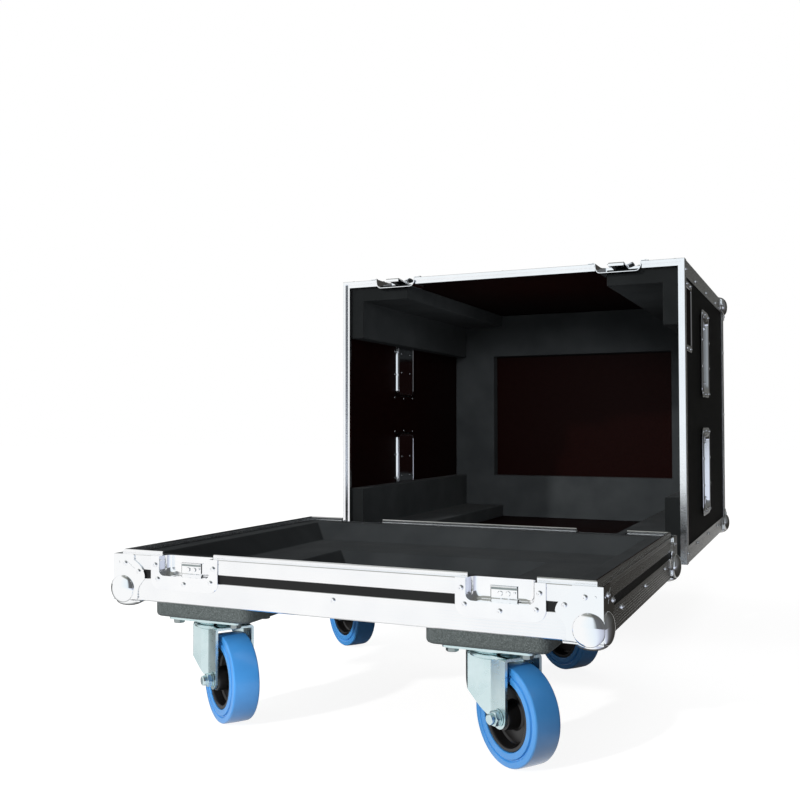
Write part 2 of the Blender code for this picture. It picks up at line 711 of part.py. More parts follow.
def add_handles(dish_finish, grip_finish, lid):
    dish = handle_dish_mesh()
    grip = handle_grip_mesh()
    inwards = HANDLE_DEPTH / 2
    for side_name, side in (("left", -1), ("right", 1)):
        face = Matrix(((0, 0, -side, side * HALF_WIDTH), (side, 0, 0, 0), (0, 1, 0, 0),
                       (0, 0, 0, 1)))
        for place, centre in zip(("front", "rear"), handle_centres()):
            set_in = at(0, centre, HANDLE_UP) @ face
            put(f"handle_dish_{side_name}_{place}", moved(dish, set_in), dish_finish, lid,
                smooth=True)
            pivot = (side * (HALF_WIDTH - inwards), centre, HANDLE_UP + GRIP_PIVOT_UP)
            hinge = empty(f"handle_pivot_{side_name}_{place}", lid, pivot)
            put(f"handle_grip_{side_name}_{place}", grip.copy(), grip_finish, hinge, smooth=True)


def hook_mesh():
    """A hook about its pivot: a barrel, a long arm and a curl that goes under the strike."""
    foot = -HOOK_PIVOT_UP - STRIKE_TOP - STRIKE_SHEET - HOOK_BITE
    near = -HOOK_SHEET / 2
    far = HOOK_SHEET / 2
    arm = [(near, 0), (far, 0), (far, foot), (far + HOOK_CURL, foot),
           (far + HOOK_CURL, foot - HOOK_SHEET), (near, foot - HOOK_SHEET)]
    arm = prism(arm, "x", -HOOK_HALF_WIDTH, HOOK_HALF_WIDTH)
    barrel = rod(HOOK_BARREL, SMALL, "x", -HOOK_HALF_WIDTH - SHEET, HOOK_HALF_WIDTH + SHEET)
    return combined("latch_hook", arm, adds=[barrel])


def key_mesh():
    """A butterfly key about its axis, which points inwards: a hub and two raised wings."""
    hub = turned([(0, -KEY_HUB_HEIGHT), (KEY_HUB_RADIUS * 0.8, -KEY_HUB_HEIGHT),
                  (KEY_HUB_RADIUS, -KEY_HUB_HEIGHT / 2), (KEY_HUB_RADIUS, 0), (0, 0)], COARSE, "y")
    wings = []
    root = KEY_HUB_RADIUS * 0.3
    for side in (-1, 1):
        outline = [(root, -KEY_WING_HALF_HEIGHT * 0.6), (KEY_WING_REACH * 0.7, -KEY_WING_HALF_HEIGHT),
                   (KEY_WING_REACH * 0.95, -KEY_WING_HALF_HEIGHT * 0.7),
                   (KEY_WING_REACH, 0), (KEY_WING_REACH * 0.95, KEY_WING_HALF_HEIGHT * 0.7),
                   (KEY_WING_REACH * 0.7, KEY_WING_HALF_HEIGHT), (root, KEY_WING_HALF_HEIGHT * 0.6)]
        wing = prism([(side * u, v) for u, v in outline], "y", -KEY_WING_SHEET, 0)
        lean = Matrix.Rotation(-side * math.atan2(KEY_WING_RISE, KEY_WING_REACH), 4, "Z")
        wings.append(moved(wing, lean))
    return combined("latch_key", hub, adds=wings)


def add_latches(finish, lid):
    hook = hook_mesh()
    key = key_mesh()
    key_drop = KEY_UP - HOOK_PIVOT_UP
    for place, rear, side in (("front_left", False, -1), ("front_right", False, 1),
                              ("rear_left", True, -1), ("rear_right", True, 1)):
        back = CASE_DEPTH - HOOK_PIVOT_IN if rear else HOOK_PIVOT_IN
        turn = math.pi if rear else 0
        seat = empty(f"latch_seat_{place}", lid, (side * LATCH_X, back, HOOK_PIVOT_UP),
                     (0, 0, turn))
        hinge = empty(f"latch_pivot_{place}", seat, (0, 0, 0), (-HOOK_REST_ANGLE, 0, 0))
        put(f"latch_hook_{place}", hook.copy(), finish, hinge)
        front_of_arm = -HOOK_SHEET / 2 - FIT
        put(f"latch_key_{place}", key.copy(), finish, hinge, (0, front_of_arm, key_drop))


def plate_mesh():
    """A castor's top plate with its upper race, king pin and mounting bolt heads."""
    inside = -PLATE_SHEET / 2
    profile = [(0, inside), (RACE_RADIUS, inside),
               (RACE_RADIUS, -PLATE_SHEET - RACE_HEIGHT * 0.4),
               (RACE_RADIUS * 0.92, -RACE_BOTTOM), (KINGPIN_RADIUS, -RACE_BOTTOM)]
    nut_top = -CROWN_BOTTOM - FIT
    profile += [(KINGPIN_RADIUS, nut_top), (KINGPIN_NUT, nut_top),
                (KINGPIN_NUT, nut_top - KINGPIN_NUT_HEIGHT), (0, nut_top - KINGPIN_NUT_HEIGHT)]
    race = turned(profile, MEDIUM)
    outline = rounded(PLATE_LENGTH / 2, PLATE_WIDTH / 2, RISER_CORNER / 2, 2)
    plate = prism(outline, "z", -PLATE_SHEET, -FIT)
    bolts = [rod(BOLT_HEAD, 6, "z", -PLATE_SHEET - BOLT_HEAD_HEIGHT, -PLATE_SHEET / 2,
                 (side_x * PLATE_BOLT_X, side_y * PLATE_BOLT_Y, 0))
             for side_x in (-1, 1) for side_y in (-1, 1)]
    return combined("castor_plate", plate, adds=[race] + bolts)


def fork_mesh():
    """A castor's fork about its swivel axis, trailing towards +X, with its axle along Y."""
    foot = arc((CASTOR_TRAIL, -AXLE_DROP), FORK_FOOT, -140, 0, 6)
    shoulder = -CROWN_BOTTOM - FORK_SHOULDER
    trail_edge = CASTOR_TRAIL + FORK_FOOT
    bow = (-FORK_LEAD * 0.4, (shoulder * 2 - AXLE_DROP) / 3 - FORK_FOOT * 0.4)
    side = [(trail_edge, -CROWN_TOP), (-FORK_LEAD, -CROWN_TOP), (-FORK_LEAD, shoulder), bow] + foot
    wide = LEG_OUTSIDE + FORK_FLARE
    rail = [(trail_edge, LEG_OUTSIDE), (FORK_BEND_X, LEG_OUTSIDE), (-FORK_LEAD * 0.3, wide),
            (-FORK_LEAD * 0.65, wide * 0.97), (-FORK_LEAD, wide * 0.72)]
    strip = rail + [(x, y - FORK_SHEET) for x, y in reversed(rail)]
    legs = []
    for turn in (1, -1):
        leg = prism([(x, turn * y) for x, y in strip], "z", -CASTOR_HEIGHT, -CROWN_TOP)
        near = turn * LEG_INSIDE * 0.5
        far = turn * wide * 1.2
        legs.append(combined("leg", leg, keeps=[prism(side, "y", min(near, far), max(near, far))]))
    roof = [(x, y - FORK_SHEET / 2) for x, y in rail]
    crown = prism(roof + [(x, -y) for x, y in reversed(roof)], "z", -CROWN_BOTTOM, -CROWN_TOP)
    bore = rod(KINGPIN_RADIUS + FIT, COARSE, "z", -CASTOR_HEIGHT / 2, CASTOR_HEIGHT / 2)
    axle_bore = rod(AXLE_RADIUS + AXLE_PLAY, COARSE, "y", -CASTOR_HEIGHT, CASTOR_HEIGHT,
                    (CASTOR_TRAIL, 0, -AXLE_DROP))
    return combined("castor_fork", crown, adds=legs, cuts=[bore, axle_bore])


def axle_mesh():
    """An axle bolt along Y, with its head and its nut."""
    reach = LEG_OUTSIDE + FIT
    head = reach + AXLE_HEAD_HEIGHT
    tail = reach + AXLE_TAIL
    shank = rod(AXLE_RADIUS, COARSE, "y", -tail - AXLE_TAIL / 3, reach + AXLE_HEAD_HEIGHT / 2)
    return combined("castor_axle", shank,
                    adds=[rod(AXLE_HEAD, 6, "y", reach, head), rod(AXLE_HEAD, 6, "y", -tail, -reach)])


def core_mesh():
    """The wheel's moulded core: a hub, a web and a rim."""
    bore = AXLE_RADIUS + AXLE_PLAY
    hub = WHEEL_WIDTH / 2 + WHEEL_PLAY - FIT
    rim = WHEEL_WIDTH / 2 - TYRE_RING_DEPTH
    inner_rim = TYRE_SEAT_RADIUS - CORE_RIM
    web = CORE_WEB / 2
    half = [(bore, hub), (HUB_RADIUS * 0.8, hub), (HUB_RADIUS, hub - WHEEL_PLAY), (HUB_RADIUS, web),
            (inner_rim, web), (inner_rim, rim), (TYRE_SEAT_RADIUS, rim)]
    profile = half + [(radius, -height) for radius, height in reversed(half)]
    return turned(profile, MEDIUM, "y")


def tyre_profile():
    """Half of the tyre in (radius, height): a ring, a groove, a sloped side, a crowned tread."""
    seat = TYRE_SEAT_RADIUS / math.cos(math.pi / FINE) + FIT
    edge = WHEEL_WIDTH / 2
    ring = seat + TYRE_RING
    return [(seat, edge), (ring, edge), (ring + FIT * 2, edge - TYRE_GROOVE),
            (ring + TYRE_GROOVE, edge - TYRE_GROOVE), (ring + TYRE_RING, edge - TYRE_RING_DEPTH),
            (TYRE_SIDE_RADIUS, TYRE_SHOULDER), (WHEEL_RADIUS, TYRE_SHOULDER * 0.4)]


def tyre_mesh():
    """The elastic tyre about its axle."""
    half = tyre_profile()
    profile = half + [(radius, -height) for radius, height in reversed(half)]
    return turned(profile, FINE, "y")


def front_reach():
    """How far the object stands out in front of the tray: a ball, or a front tyre."""
    lean = abs(math.sin(FRONT_SWIVEL))
    tyre = max(radius * lean + height * math.cos(FRONT_SWIVEL) for radius, height in tyre_profile())
    return max(BALL_PROUD, tyre - CASTOR_INSET - CASTOR_TRAIL * math.sin(FRONT_SWIVEL))


def riser_mesh():
    """A moulded block with round corners and an eased lower edge."""
    outline = rounded(RISER_LENGTH / 2, RISER_DEPTH / 2, RISER_CORNER)
    ease = RISER_CORNER / 4
    inner = rounded(RISER_LENGTH / 2 - ease, RISER_DEPTH / 2 - ease, RISER_CORNER - ease)
    count = len(outline)
    rows = [(outline, -FIT), (outline, -RISER_HEIGHT + ease), (inner, -RISER_HEIGHT)]
    corners = [(x, y, z) for ring, z in rows for x, y in ring]
    faces = [tuple(range(count)), tuple(range(3 * count - 1, 2 * count - 1, -1))]
    for row in range(2):
        for here in range(count):
            after = (here + 1) % count
            faces.append((row * count + here, row * count + after,
                          (row + 1) * count + after, (row + 1) * count + here))
    return make_mesh("riser", corners, faces)


def add_castors(finishes, case):
    riser = riser_mesh()
    meshes = {"castor_plate": plate_mesh(), "castor_fork": fork_mesh(),
              "castor_axle": axle_mesh(), "castor_core": core_mesh(), "castor_tyre": tyre_mesh()}
    for place, side, rear in (("front_left", -1, False), ("front_right", 1, False),
                              ("rear_left", -1, True), ("rear_right", 1, True)):
        back = CASE_DEPTH - CASTOR_INSET if rear else CASTOR_INSET
        top = (side * CASTOR_X, back, -TRAY_HEIGHT)
        put(f"riser_{place}", riser.copy(), finishes["riser"], case, top)
        under = (top[0], top[1], top[2] - RISER_HEIGHT)
        put(f"castor_plate_{place}", meshes["castor_plate"].copy(), finishes["zinc"], case, under,
            smooth=True)
        turn = REAR_SWIVEL if rear else FRONT_SWIVEL
        swivel = empty(f"castor_swivel_{place}", case, under, (0, 0, turn))
        put(f"castor_fork_{place}", meshes["castor_fork"].copy(), finishes["zinc"], swivel,
            smooth=True)
        axle = empty(f"castor_spin_{place}", swivel, (CASTOR_TRAIL, 0, -AXLE_DROP))
        put(f"castor_axle_{place}", meshes["castor_axle"].copy(), finishes["zinc"], axle,
            smooth=True)
        put(f"castor_core_{place}", meshes["castor_core"].copy(), finishes["core"], axle,
            smooth=True)
        put(f"castor_tyre_{place}", meshes["castor_tyre"].copy(), finishes["tyre"], axle,
            smooth=True)


def main():
    clear_scene()
    finishes = {"panel": make_material("black_laminate", (0.02, 0.02, 0.022), 0.45, 0.0),
                "aluminium": make_material("aluminium", (0.78, 0.80, 0.82), 0.32, 1.0),
                "chrome": make_material("chrome", (0.80, 0.81, 0.84), 0.12, 1.0),
                "zinc": make_material("zinc_plate", (0.66, 0.72, 0.74), 0.3, 1.0),
                "foam": make_material("charcoal_foam", (0.035, 0.038, 0.04), 0.95, 0.0),
                "riser": make_material("textured_block", (0.10, 0.12, 0.12), 0.7, 0.0),
                "core": make_material("black_nylon", (0.015, 0.014, 0.014), 0.4, 0.0),
                "tyre": make_material("blue_rubber", (0.03, 0.22, 0.75), 0.45, 0.0),
                "grip": make_material("black_grip", (0.03, 0.03, 0.03), 0.6, 0.0)}
    case = empty("case_frame", None, (0, (front_reach() - REAR_REACH) / 2, FLOOR_DROP))
    pivot = (0, CASE_DEPTH + PIVOT_BACK, -PIVOT_DOWN)
    lid_pivot = empty("lid_pivot", case, pivot, (-math.pi / 2, 0, 0))
    lid = empty("lid_frame", lid_pivot, tuple(-value for value in pivot))

    put("tray_shell", tray_shell_mesh(), finishes["panel"], case)
    put("tray_rim", tray_rim_mesh(), finishes["aluminium"], case)
    put("tray_edge", tray_edge_mesh(), finishes["aluminium"], case)
    put("tray_foam", tray_foam_mesh(), finishes["foam"], case)
    for name, mesh in lid_panels().items():
        put(name, mesh, finishes["panel"], lid)
    put("lid_rim", lid_rim_mesh(), finishes["aluminium"], lid)
    put("lid_edges", lid_edges_mesh(), finishes["aluminium"], lid)
    put("lid_foam", lid_foam_mesh(), finishes["foam"], lid)
    add_corners(finishes["chrome"], case, lid)
    add_handles(finishes["chrome"], finishes["grip"], lid)
    add_latches(finishes["chrome"], lid)
    add_castors(finishes, case)
    bpy.context.view_layer.update()


main()
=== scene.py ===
"""The looks of the speaker flight case: finishes, pressed hardware, foam, rivets, camera and light.

Case coordinates are those of the closed case: x across, y back from the front face and z up from
the joint.  TRAY and LID place them in the world, where the lid lies on its back behind the tray.
"""
import json
import math

import bmesh
import bpy
from mathutils import Matrix, Vector


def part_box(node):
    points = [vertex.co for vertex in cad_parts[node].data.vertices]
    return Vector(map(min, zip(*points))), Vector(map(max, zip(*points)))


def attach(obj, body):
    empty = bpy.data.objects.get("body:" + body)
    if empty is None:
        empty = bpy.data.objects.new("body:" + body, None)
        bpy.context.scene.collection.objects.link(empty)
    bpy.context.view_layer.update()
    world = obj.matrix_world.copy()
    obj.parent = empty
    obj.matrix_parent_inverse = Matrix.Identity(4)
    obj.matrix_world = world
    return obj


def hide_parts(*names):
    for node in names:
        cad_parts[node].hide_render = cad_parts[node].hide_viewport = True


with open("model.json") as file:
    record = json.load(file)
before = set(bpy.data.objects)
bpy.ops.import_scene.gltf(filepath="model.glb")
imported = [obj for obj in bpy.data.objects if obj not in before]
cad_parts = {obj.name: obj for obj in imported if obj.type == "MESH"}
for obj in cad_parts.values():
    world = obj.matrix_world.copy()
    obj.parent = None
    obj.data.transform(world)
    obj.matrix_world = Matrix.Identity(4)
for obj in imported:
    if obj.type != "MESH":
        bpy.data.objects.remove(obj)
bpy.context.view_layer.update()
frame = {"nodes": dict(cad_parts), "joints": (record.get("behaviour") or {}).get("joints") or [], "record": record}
nodes = frame["nodes"]
joints = {joint["name"]: joint for joint in frame["joints"]}

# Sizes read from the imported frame; GAP is the clearance between parts
GAP = 0.0003
EDGE_LOW, EDGE_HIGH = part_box("tray_edge")
RIM_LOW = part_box("lid_rim")[0]
LID_LOW, LID_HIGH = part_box("lid_edges")
TRAY_HEIGHT = 0.053
JOINT_Z = EDGE_LOW.z + TRAY_HEIGHT
HALF_WIDTH = EDGE_HIGH.x
DEPTH = EDGE_HIGH.y - EDGE_LOW.y
LID_HEIGHT = LID_HIGH.y - RIM_LOW.y + GAP
MOUTH_Y = LID_HIGH.y - LID_HEIGHT
TRAY = Matrix.Translation((0, EDGE_LOW.y, JOINT_Z))
LID = Matrix.Translation((0, MOUTH_Y, LID_HIGH.z)) @ Matrix.Rotation(-math.pi / 2, 4, "X")
WORLD = Matrix.Identity(4)

# Metal, walls and foam, as in the solids
SHEET = 0.0015
LEAF = 0.0016
WALL = 0.0088
FOAM = 0.025
FOAM_BAND = 0.089
FOAM_PAD = 0.1095
FOAM_SETBACK = 0.012
LEDGE_DROP = 0.025
LEDGE_X = 0.081
LEDGE_Y = 0.095
LEG = 0.0265
RIM_LEG = 0.017
LATCH_X = HALF_WIDTH - 0.0995
PLACES = ("front_left", "front_right", "rear_left", "rear_right")


# Building blocks

def mesh_of(corners, faces):
    mesh = bpy.data.meshes.new("piece")
    mesh.from_pydata([tuple(corner) for corner in corners], [], faces)
    work = bmesh.new()
    work.from_mesh(mesh)
    bmesh.ops.recalc_face_normals(work, faces=work.faces)
    work.to_mesh(mesh)
    work.free()
    return mesh


def block(low, high):
    corners = [(x, y, z) for x in (low[0], high[0]) for y in (low[1], high[1])
               for z in (low[2], high[2])]
    faces = [(0, 1, 3, 2), (4, 6, 7, 5), (0, 4, 5, 1), (2, 3, 7, 6), (0, 2, 6, 4), (1, 5, 7, 3)]
    return mesh_of(corners, faces)


def prism(outline, axis, low, high):
    """An outline drawn in the two other axes, drawn out along one axis."""
    def place(pair, along):
        point = list(pair)
        point.insert("xyz".index(axis), along)
        return tuple(point)

    count = len(outline)
    corners = [place(pair, low) for pair in outline] + [place(pair, high) for pair in outline]
    faces = [tuple(range(count)), tuple(range(2 * count - 1, count - 1, -1))]
    for here in range(count):
        after = (here + 1) % count
        faces.append((here, after, count + after, count + here))
    return mesh_of(corners, faces)


def turned(profile, steps, axis="z", centre=(0, 0, 0)):
    """A body of revolution from (radius, height) pairs; a profile off the axis makes a ring."""
    rows = []
    corners = []
    for radius, height in profile:
        ring = []
        for step in range(steps if radius > 1e-6 else 1):
            angle = 2 * math.pi * step / steps
            point = [radius * math.cos(angle), radius * math.sin(angle)]
            point.insert("xyz".index(axis), height)
            ring.append(len(corners))
            corners.append(Vector(point) + Vector(centre))
        rows.append(ring)
    off_axis = min(len(rows[0]), len(rows[-1])) > 1
    faces = []
    for first, second in zip(rows, rows[1:] + rows[:1] if off_axis else rows[1:]):
        for step in range(steps):
            after = (step + 1) % steps
            face = [first[step % len(first)], second[step % len(second)],
                    second[after % len(second)], first[after % len(first)]]
            faces.append(tuple(dict.fromkeys(face)))
    return mesh_of(corners, faces)


def mirrored(half):
    """A profile of (radius, height) pairs and its mirror image past height 0."""
    return half + [(radius, -height) for radius, height in reversed(half) if height]


def ring_of(profile):
    """A closed profile of (inset, height) pairs, led round the case with mitred corners."""
    count = len(profile)
    corners = []
    for side_x, rear in ((-1, False), (1, False), (1, True), (-1, True)):
        for inset, height in profile:
            back = DEPTH - inset if rear else inset
            corners.append((side_x * (HALF_WIDTH - inset), back, height))
    faces = []
    for corner in range(4):
        after = (corner + 1) % 4
        for here in range(count):
            up = (here + 1) % count
            faces.append((corner * count + here, corner * count + up,
                          after * count + up, after * count + here))
    return mesh_of(corners, faces)


def loft(rows, fill_first=False, fill_last=False, closed=True, more=()):
    """Rows of as many points each, joined by faces; more are faces of one's own."""
    count = len(rows[0])
    corners = [point for row in rows for point in row]
    faces = []
    for row in range(len(rows) - 1):
        for here in range(count if closed else count - 1):
            after = (here + 1) % count
            faces.append((row * count + here, row * count + after,
                          (row + 1) * count + after, (row + 1) * count + here))
    if fill_first:
        faces.append(tuple(range(count)))
    if fill_last:
        faces.append(tuple(range(len(corners) - count, len(corners))))
    return mesh_of(corners, faces + list(more))


def arc(centre, radius, start, end, steps):
    return [(centre[0] + radius * math.cos(math.radians(start + (end - start) * step / steps)),
             centre[1] + radius * math.sin(math.radians(start + (end - start) * step / steps)))
            for step in range(steps + 1)]


def rounded(half_u, half_v, radius, steps=8):
    outline = []
    for side_u, side_v, start in ((1, 1, 0), (-1, 1, 90), (-1, -1, 180), (1, -1, 270)):
        centre = (side_u * (half_u - radius), side_v * (half_v - radius))
        outline += arc(centre, radius, start, start + 90, steps)
    return outline


def rounded_at(height, half_u, half_v, radius, steps):
    return [(u, v, height) for u, v in rounded(half_u, half_v, radius, steps)]


def moved(mesh, matrix):
    made = mesh.copy()
    made.transform(matrix)
    if matrix.to_3x3().determinant() < 0:
        made.flip_normals()
    return made


def joined(meshes):
    """One mesh of several loose ones."""
    work = bmesh.new()
    for mesh in meshes:
        work.from_mesh(mesh)
    made = bpy.data.meshes.new("joined")
    work.to_mesh(made)
    work.free()
    return made


def at(x, y, z):
    return Matrix.Translation((x, y, z))


def turn(angle, axis):
    return Matrix.Rotation(math.radians(angle), 4, axis)


BEHIND = at(0, DEPTH, 0) @ turn(180, "Z")


def bevelled(mesh, width, segments=2, angle=30):
    """The mesh with its sharp edges rounded off."""
    return applied(mesh, "BEVEL", width=width, segments=segments, limit_method="ANGLE",
                   angle_limit=math.radians(angle))


def applied(mesh, kind, **settings):
    """The mesh as one modifier leaves it."""
    body = bpy.data.objects.new("work", mesh)
    bpy.context.scene.collection.objects.link(body)
    change = body.modifiers.new("change", kind)
    for name, value in settings.items():
        setattr(change, name, value)
    settled = body.evaluated_get(bpy.context.evaluated_depsgraph_get())
    made = bpy.data.meshes.new_from_object(settled)
    bpy.data.objects.remove(body, do_unlink=True)
    return made


def cut(mesh, tools, operation="DIFFERENCE"):
    """The mesh with other meshes cut away."""
    tool = bpy.data.objects.new("tool", joined(tools))
    bpy.context.scene.collection.objects.link(tool)
    made = applied(mesh, "BOOLEAN", object=tool, operation=operation, solver="EXACT",
                   use_self=True)
    bpy.data.objects.remove(tool, do_unlink=True)
    return made


def thickened(mesh, thickness, offset=-1):
    return applied(mesh, "SOLIDIFY", thickness=thickness, offset=offset, use_even_offset=True)


def pressed(sheet, thickness):
    """A sheet whose last face is the dish's floor, thickened away from the dish's opening."""
    if sheet.polygons[-1].normal.z > 0:
        sheet.flip_normals()
    return thickened(sheet, thickness)


def piece(name, mesh, finish, body, place=WORLD, replaces=(), smooth=35):
    """A named, smoothly shaded piece that rides on a body; finish names one look or several."""
    looks = [finish] if isinstance(finish, str) else finish
    item = bpy.data.objects.new(name, mesh)
    bpy.context.scene.collection.objects.link(item)
    mesh.materials.clear()
    for look in looks:
        mesh.materials.append(FINISH[look])
    mesh.shade_smooth()
    mesh.set_sharp_from_angle(angle=math.radians(smooth))
    item.modifiers.new("even_normals", "WEIGHTED_NORMAL").keep_sharp = True
    item.matrix_world = place
    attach(item, body)
    if replaces:
        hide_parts(*replaces)
    return item


# Materials

class Graph:
    """Short calls for the nodes of a material or a world."""

    def __init__(self, owner):
        owner.use_nodes = True
        self.tree = owner.node_tree

    def node(self, kind, inputs=None, output=0, **settings):
        """Adds a node, feeds its inputs with sockets or values, and returns one output."""
        made = self.tree.nodes.new("ShaderNode" + kind)
        for name, value in settings.items():
            setattr(made, name, value)
        for name, value in (inputs or {}).items():
            if isinstance(value, bpy.types.NodeSocket):
                self.tree.links.new(value, made.inputs[name])
            else:
                made.inputs[name].default_value = value
        return made.outputs[output]

    def math(self, operation, first, second):
        return self.node("Math", {0: first, 1: second}, operation=operation)

    def spread(self, factor, start, end, low=0.0, high=1.0):
        """Stretches the part of a factor between start and end to low and high."""
        return self.node("MapRange", {"Value": factor, "From Min": start, "From Max": end,
                                      "To Min": low, "To Max": high}, "Result")

    def blended(self, factor, first, second):
        """One of two colours, by a factor."""
        return self.node("Mix", {"Factor": factor, "A": first, "B": second}, "Result",
                         data_type="RGBA")

    def parts(self, vector):
        return self.node("SeparateXYZ", {"Vector": vector}).node.outputs

    def show(self, plain, around, seen, output):
        """Lets metal see around, the camera and glass see seen, and all other rays see plain."""
        path = self.node("LightPath").node.outputs
        direct = self.math("MAXIMUM", path["Is Camera Ray"], path["Is Transmission Ray"])
        mixed = self.node("MixShader", {0: path["Is Glossy Ray"], 1: plain, 2: around})
        mixed = self.node("MixShader", {0: direct, 1: mixed, 2: seen})
        self.tree.links.new(mixed, self.tree.nodes[output].inputs["Surface"])


class Shader(Graph):
    """A material with one Principled shader, its textures and its constant sockets."""

    def __init__(self, name, colour, roughness, metallic=0.0, constants=None):
        self.material = bpy.data.materials.new(name)
        super().__init__(self.material)
        self.sockets = self.tree.nodes["Principled BSDF"].inputs
        self.sockets["Base Color"].default_value = (*colour, 1)
        self.sockets["Roughness"].default_value = roughness
        self.sockets["Metallic"].default_value = metallic
        for socket, value in (constants or {}).items():
            self.sockets[socket].default_value = value
        self.place = self.node("TexCoord", output="Object")

    def noise(self, scale, detail=4, stretch=(1, 1, 1)):
        place = self.node("Mapping", {"Vector": self.place, "Scale": stretch})
        return self.node("TexNoise", {"Vector": place, "Scale": scale, "Detail": detail}, "Fac")

    def cells(self, scale):
        return self.node("TexVoronoi", {"Vector": self.place, "Scale": scale}, "Distance")

    def within(self, low, high):
        """1 where the place lies between two corners, else 0."""
        inside = 1.0
        for socket, least, most in zip(self.parts(self.place), low, high):
            here = self.math("MULTIPLY", self.math("GREATER_THAN", socket, least),
                             self.math("LESS_THAN", socket, most))
            inside = self.math("MULTIPLY", inside, here)
        return inside

    def tones(self, factor, start, end, tones):
        """The colour between two tones, where the factor lies between start and end."""
        first, second = tones
        return self.blended(self.spread(factor, start, end), (*first, 1), (*second, 1))

    def colour(self, colour):
        self.tree.links.new(colour, self.sockets["Base Color"])

    def rough(self, factor, low, high):
        self.tree.links.new(self.spread(factor, 0, 1, low, high), self.sockets["Roughness"])

    def bump(self, height, strength, distance=0.0003):
        """Adds the relief and returns the finished material."""
        relief = {"Height": height, "Strength": strength, "Distance": distance}
        self.tree.links.new(self.node("Bump", relief), self.sockets["Normal"])
        return self.material


def clouded(name, colour, roughness, metallic, cloud, rough, fine, tones=None, constants=None):
    """A look with soft clouds in its roughness and colour, and a fine grain.

    cloud is the (scale, detail) of the clouds, fine the (scale, strength) of the grain.
    """
    made = Shader(name, colour, roughness, metallic, constants)
    clouds = made.noise(*cloud)
    if tones:
        made.colour(made.tones(clouds, 0.3, 0.7, tones))
    made.rough(clouds, *rough)
    return made.bump(made.noise(fine[0], 3), fine[1])


def aluminium():
    """Bright extrusion with fine drawing lines along one axis."""
    made = Shader("aluminium", (0.93, 0.94, 0.95), 0.16, 1.0)
    lines = made.noise(900, 3, (0.02, 1, 1))
    made.colour(made.tones(made.noise(14, 3), 0.3, 0.7, ((0.90, 0.91, 0.93), (0.97, 0.975, 0.98))))
    made.rough(lines, 0.11, 0.24)
    return made.bump(lines, 0.06, 0.0004)


def chrome():
    """Polished plate with faint smudges."""
    made = Shader("chrome", (0.94, 0.95, 0.96), 0.06, 1.0)
    made.rough(made.spread(made.noise(40, 5), 0.35, 0.75), 0.03, 0.09)
    return made.bump(made.noise(60, 2), 0.05, 0.001)


LAMINATE = ((0.0032, 0.0033, 0.0034), (0.008, 0.008, 0.0085))
LINING = ((0.0028, 0.0005, 0.0004), (0.0050, 0.0010, 0.0008))


def laminate():
    """Black laminate with a fine pebbled grain."""
    made = Shader("black_laminate", LAMINATE[0], 0.42, 0.0, {"Specular IOR Level": 0.3})
    grain = made.cells(900)
    made.colour(made.tones(made.noise(1400, 2), 0.45, 0.75, LAMINATE))
    made.rough(grain, 0.34, 0.55)
    return made.bump(grain, 0.35, 0.0005)


def lining():
    """The bare inner face of the panels: a very dark red-brown, with a faint grain."""
    made = Shader("dark_lining", LINING[0], 0.55, 0.0, {"Specular IOR Level": 0.1})
    grain = made.noise(240, 5, (1, 1, 0.12))
    made.colour(made.tones(grain, 0.35, 0.7, LINING))
    made.rough(grain, 0.45, 0.65)
    return made.bump(grain, 0.15, 0.0004)


def panel():
    """The lid's panels: laminate outside, and the bare dark face inside the box."""
    made = Shader("laminated_panel", LAMINATE[0], 0.5, 0.0, {"Specular IOR Level": 0.08})
    skin = 0.005
    inside = made.within((skin - HALF_WIDTH, MOUTH_Y - skin, LID_LOW.z + skin),
                         (HALF_WIDTH - skin, LID_HIGH.y - skin, LID_HIGH.z - skin))
    grain = made.cells(900)
    outer = made.tones(made.noise(1400, 2), 0.45, 0.75, LAMINATE)
    inner = made.tones(made.noise(240, 5, (1, 0.12, 1)), 0.35, 0.7, LINING)
    made.colour(made.blended(inside, outer, inner))
    made.rough(grain, 0.38, 0.6)
    return made.bump(grain, 0.3, 0.0005)


def foam():
    """Closed-cell foam: charcoal with small cells, with painted shade: the lid strips' ends near the mouth are
    coloured darker.
    """
    made = Shader("charcoal_foam", (0.020, 0.022, 0.024), 0.95, 0.0,
                  {"Sheen Weight": 0.01, "Sheen Roughness": 0.6, "Specular IOR Level": 0.03})
    cloud = made.noise(18, 3)
    skin = made.tones(cloud, 0.3, 0.7, ((0.017, 0.019, 0.0205), (0.024, 0.0265, 0.028)))
    # painted shade: darker tones for the lid strips' ends near the mouth
    end_shade_tones = made.tones(cloud, 0.3, 0.7, ((0.0075, 0.0084, 0.0088), (0.0105, 0.0116, 0.0122)))
    painted_end_shade_mask = made.within((-1, -1, 0.0), (1, 1, FOAM_SETBACK + 0.0010))
    made.colour(made.blended(painted_end_shade_mask, skin, end_shade_tones))
    return made.bump(made.cells(1300), 0.5, 0.0006)


def riser_coat():
    """Dark grey-green moulded block with a leathery grain."""
    made = Shader("textured_block", (0.075, 0.09, 0.09), 0.6)
    grain = made.cells(520)
    made.colour(made.tones(made.noise(900, 3), 0.4, 0.7, ((0.050, 0.060, 0.060), (0.12, 0.14, 0.14))))
    made.rough(grain, 0.45, 0.7)
    return made.bump(grain, 0.7, 0.0009)


def void():
    """Near-black painted shade, for the rivets' stem holes and the shadow lines round the strike plates."""
    made = Shader("painted_hole_shade", (0.004, 0.004, 0.004), 0.8)
    return made.bump(made.noise(500), 0.1)


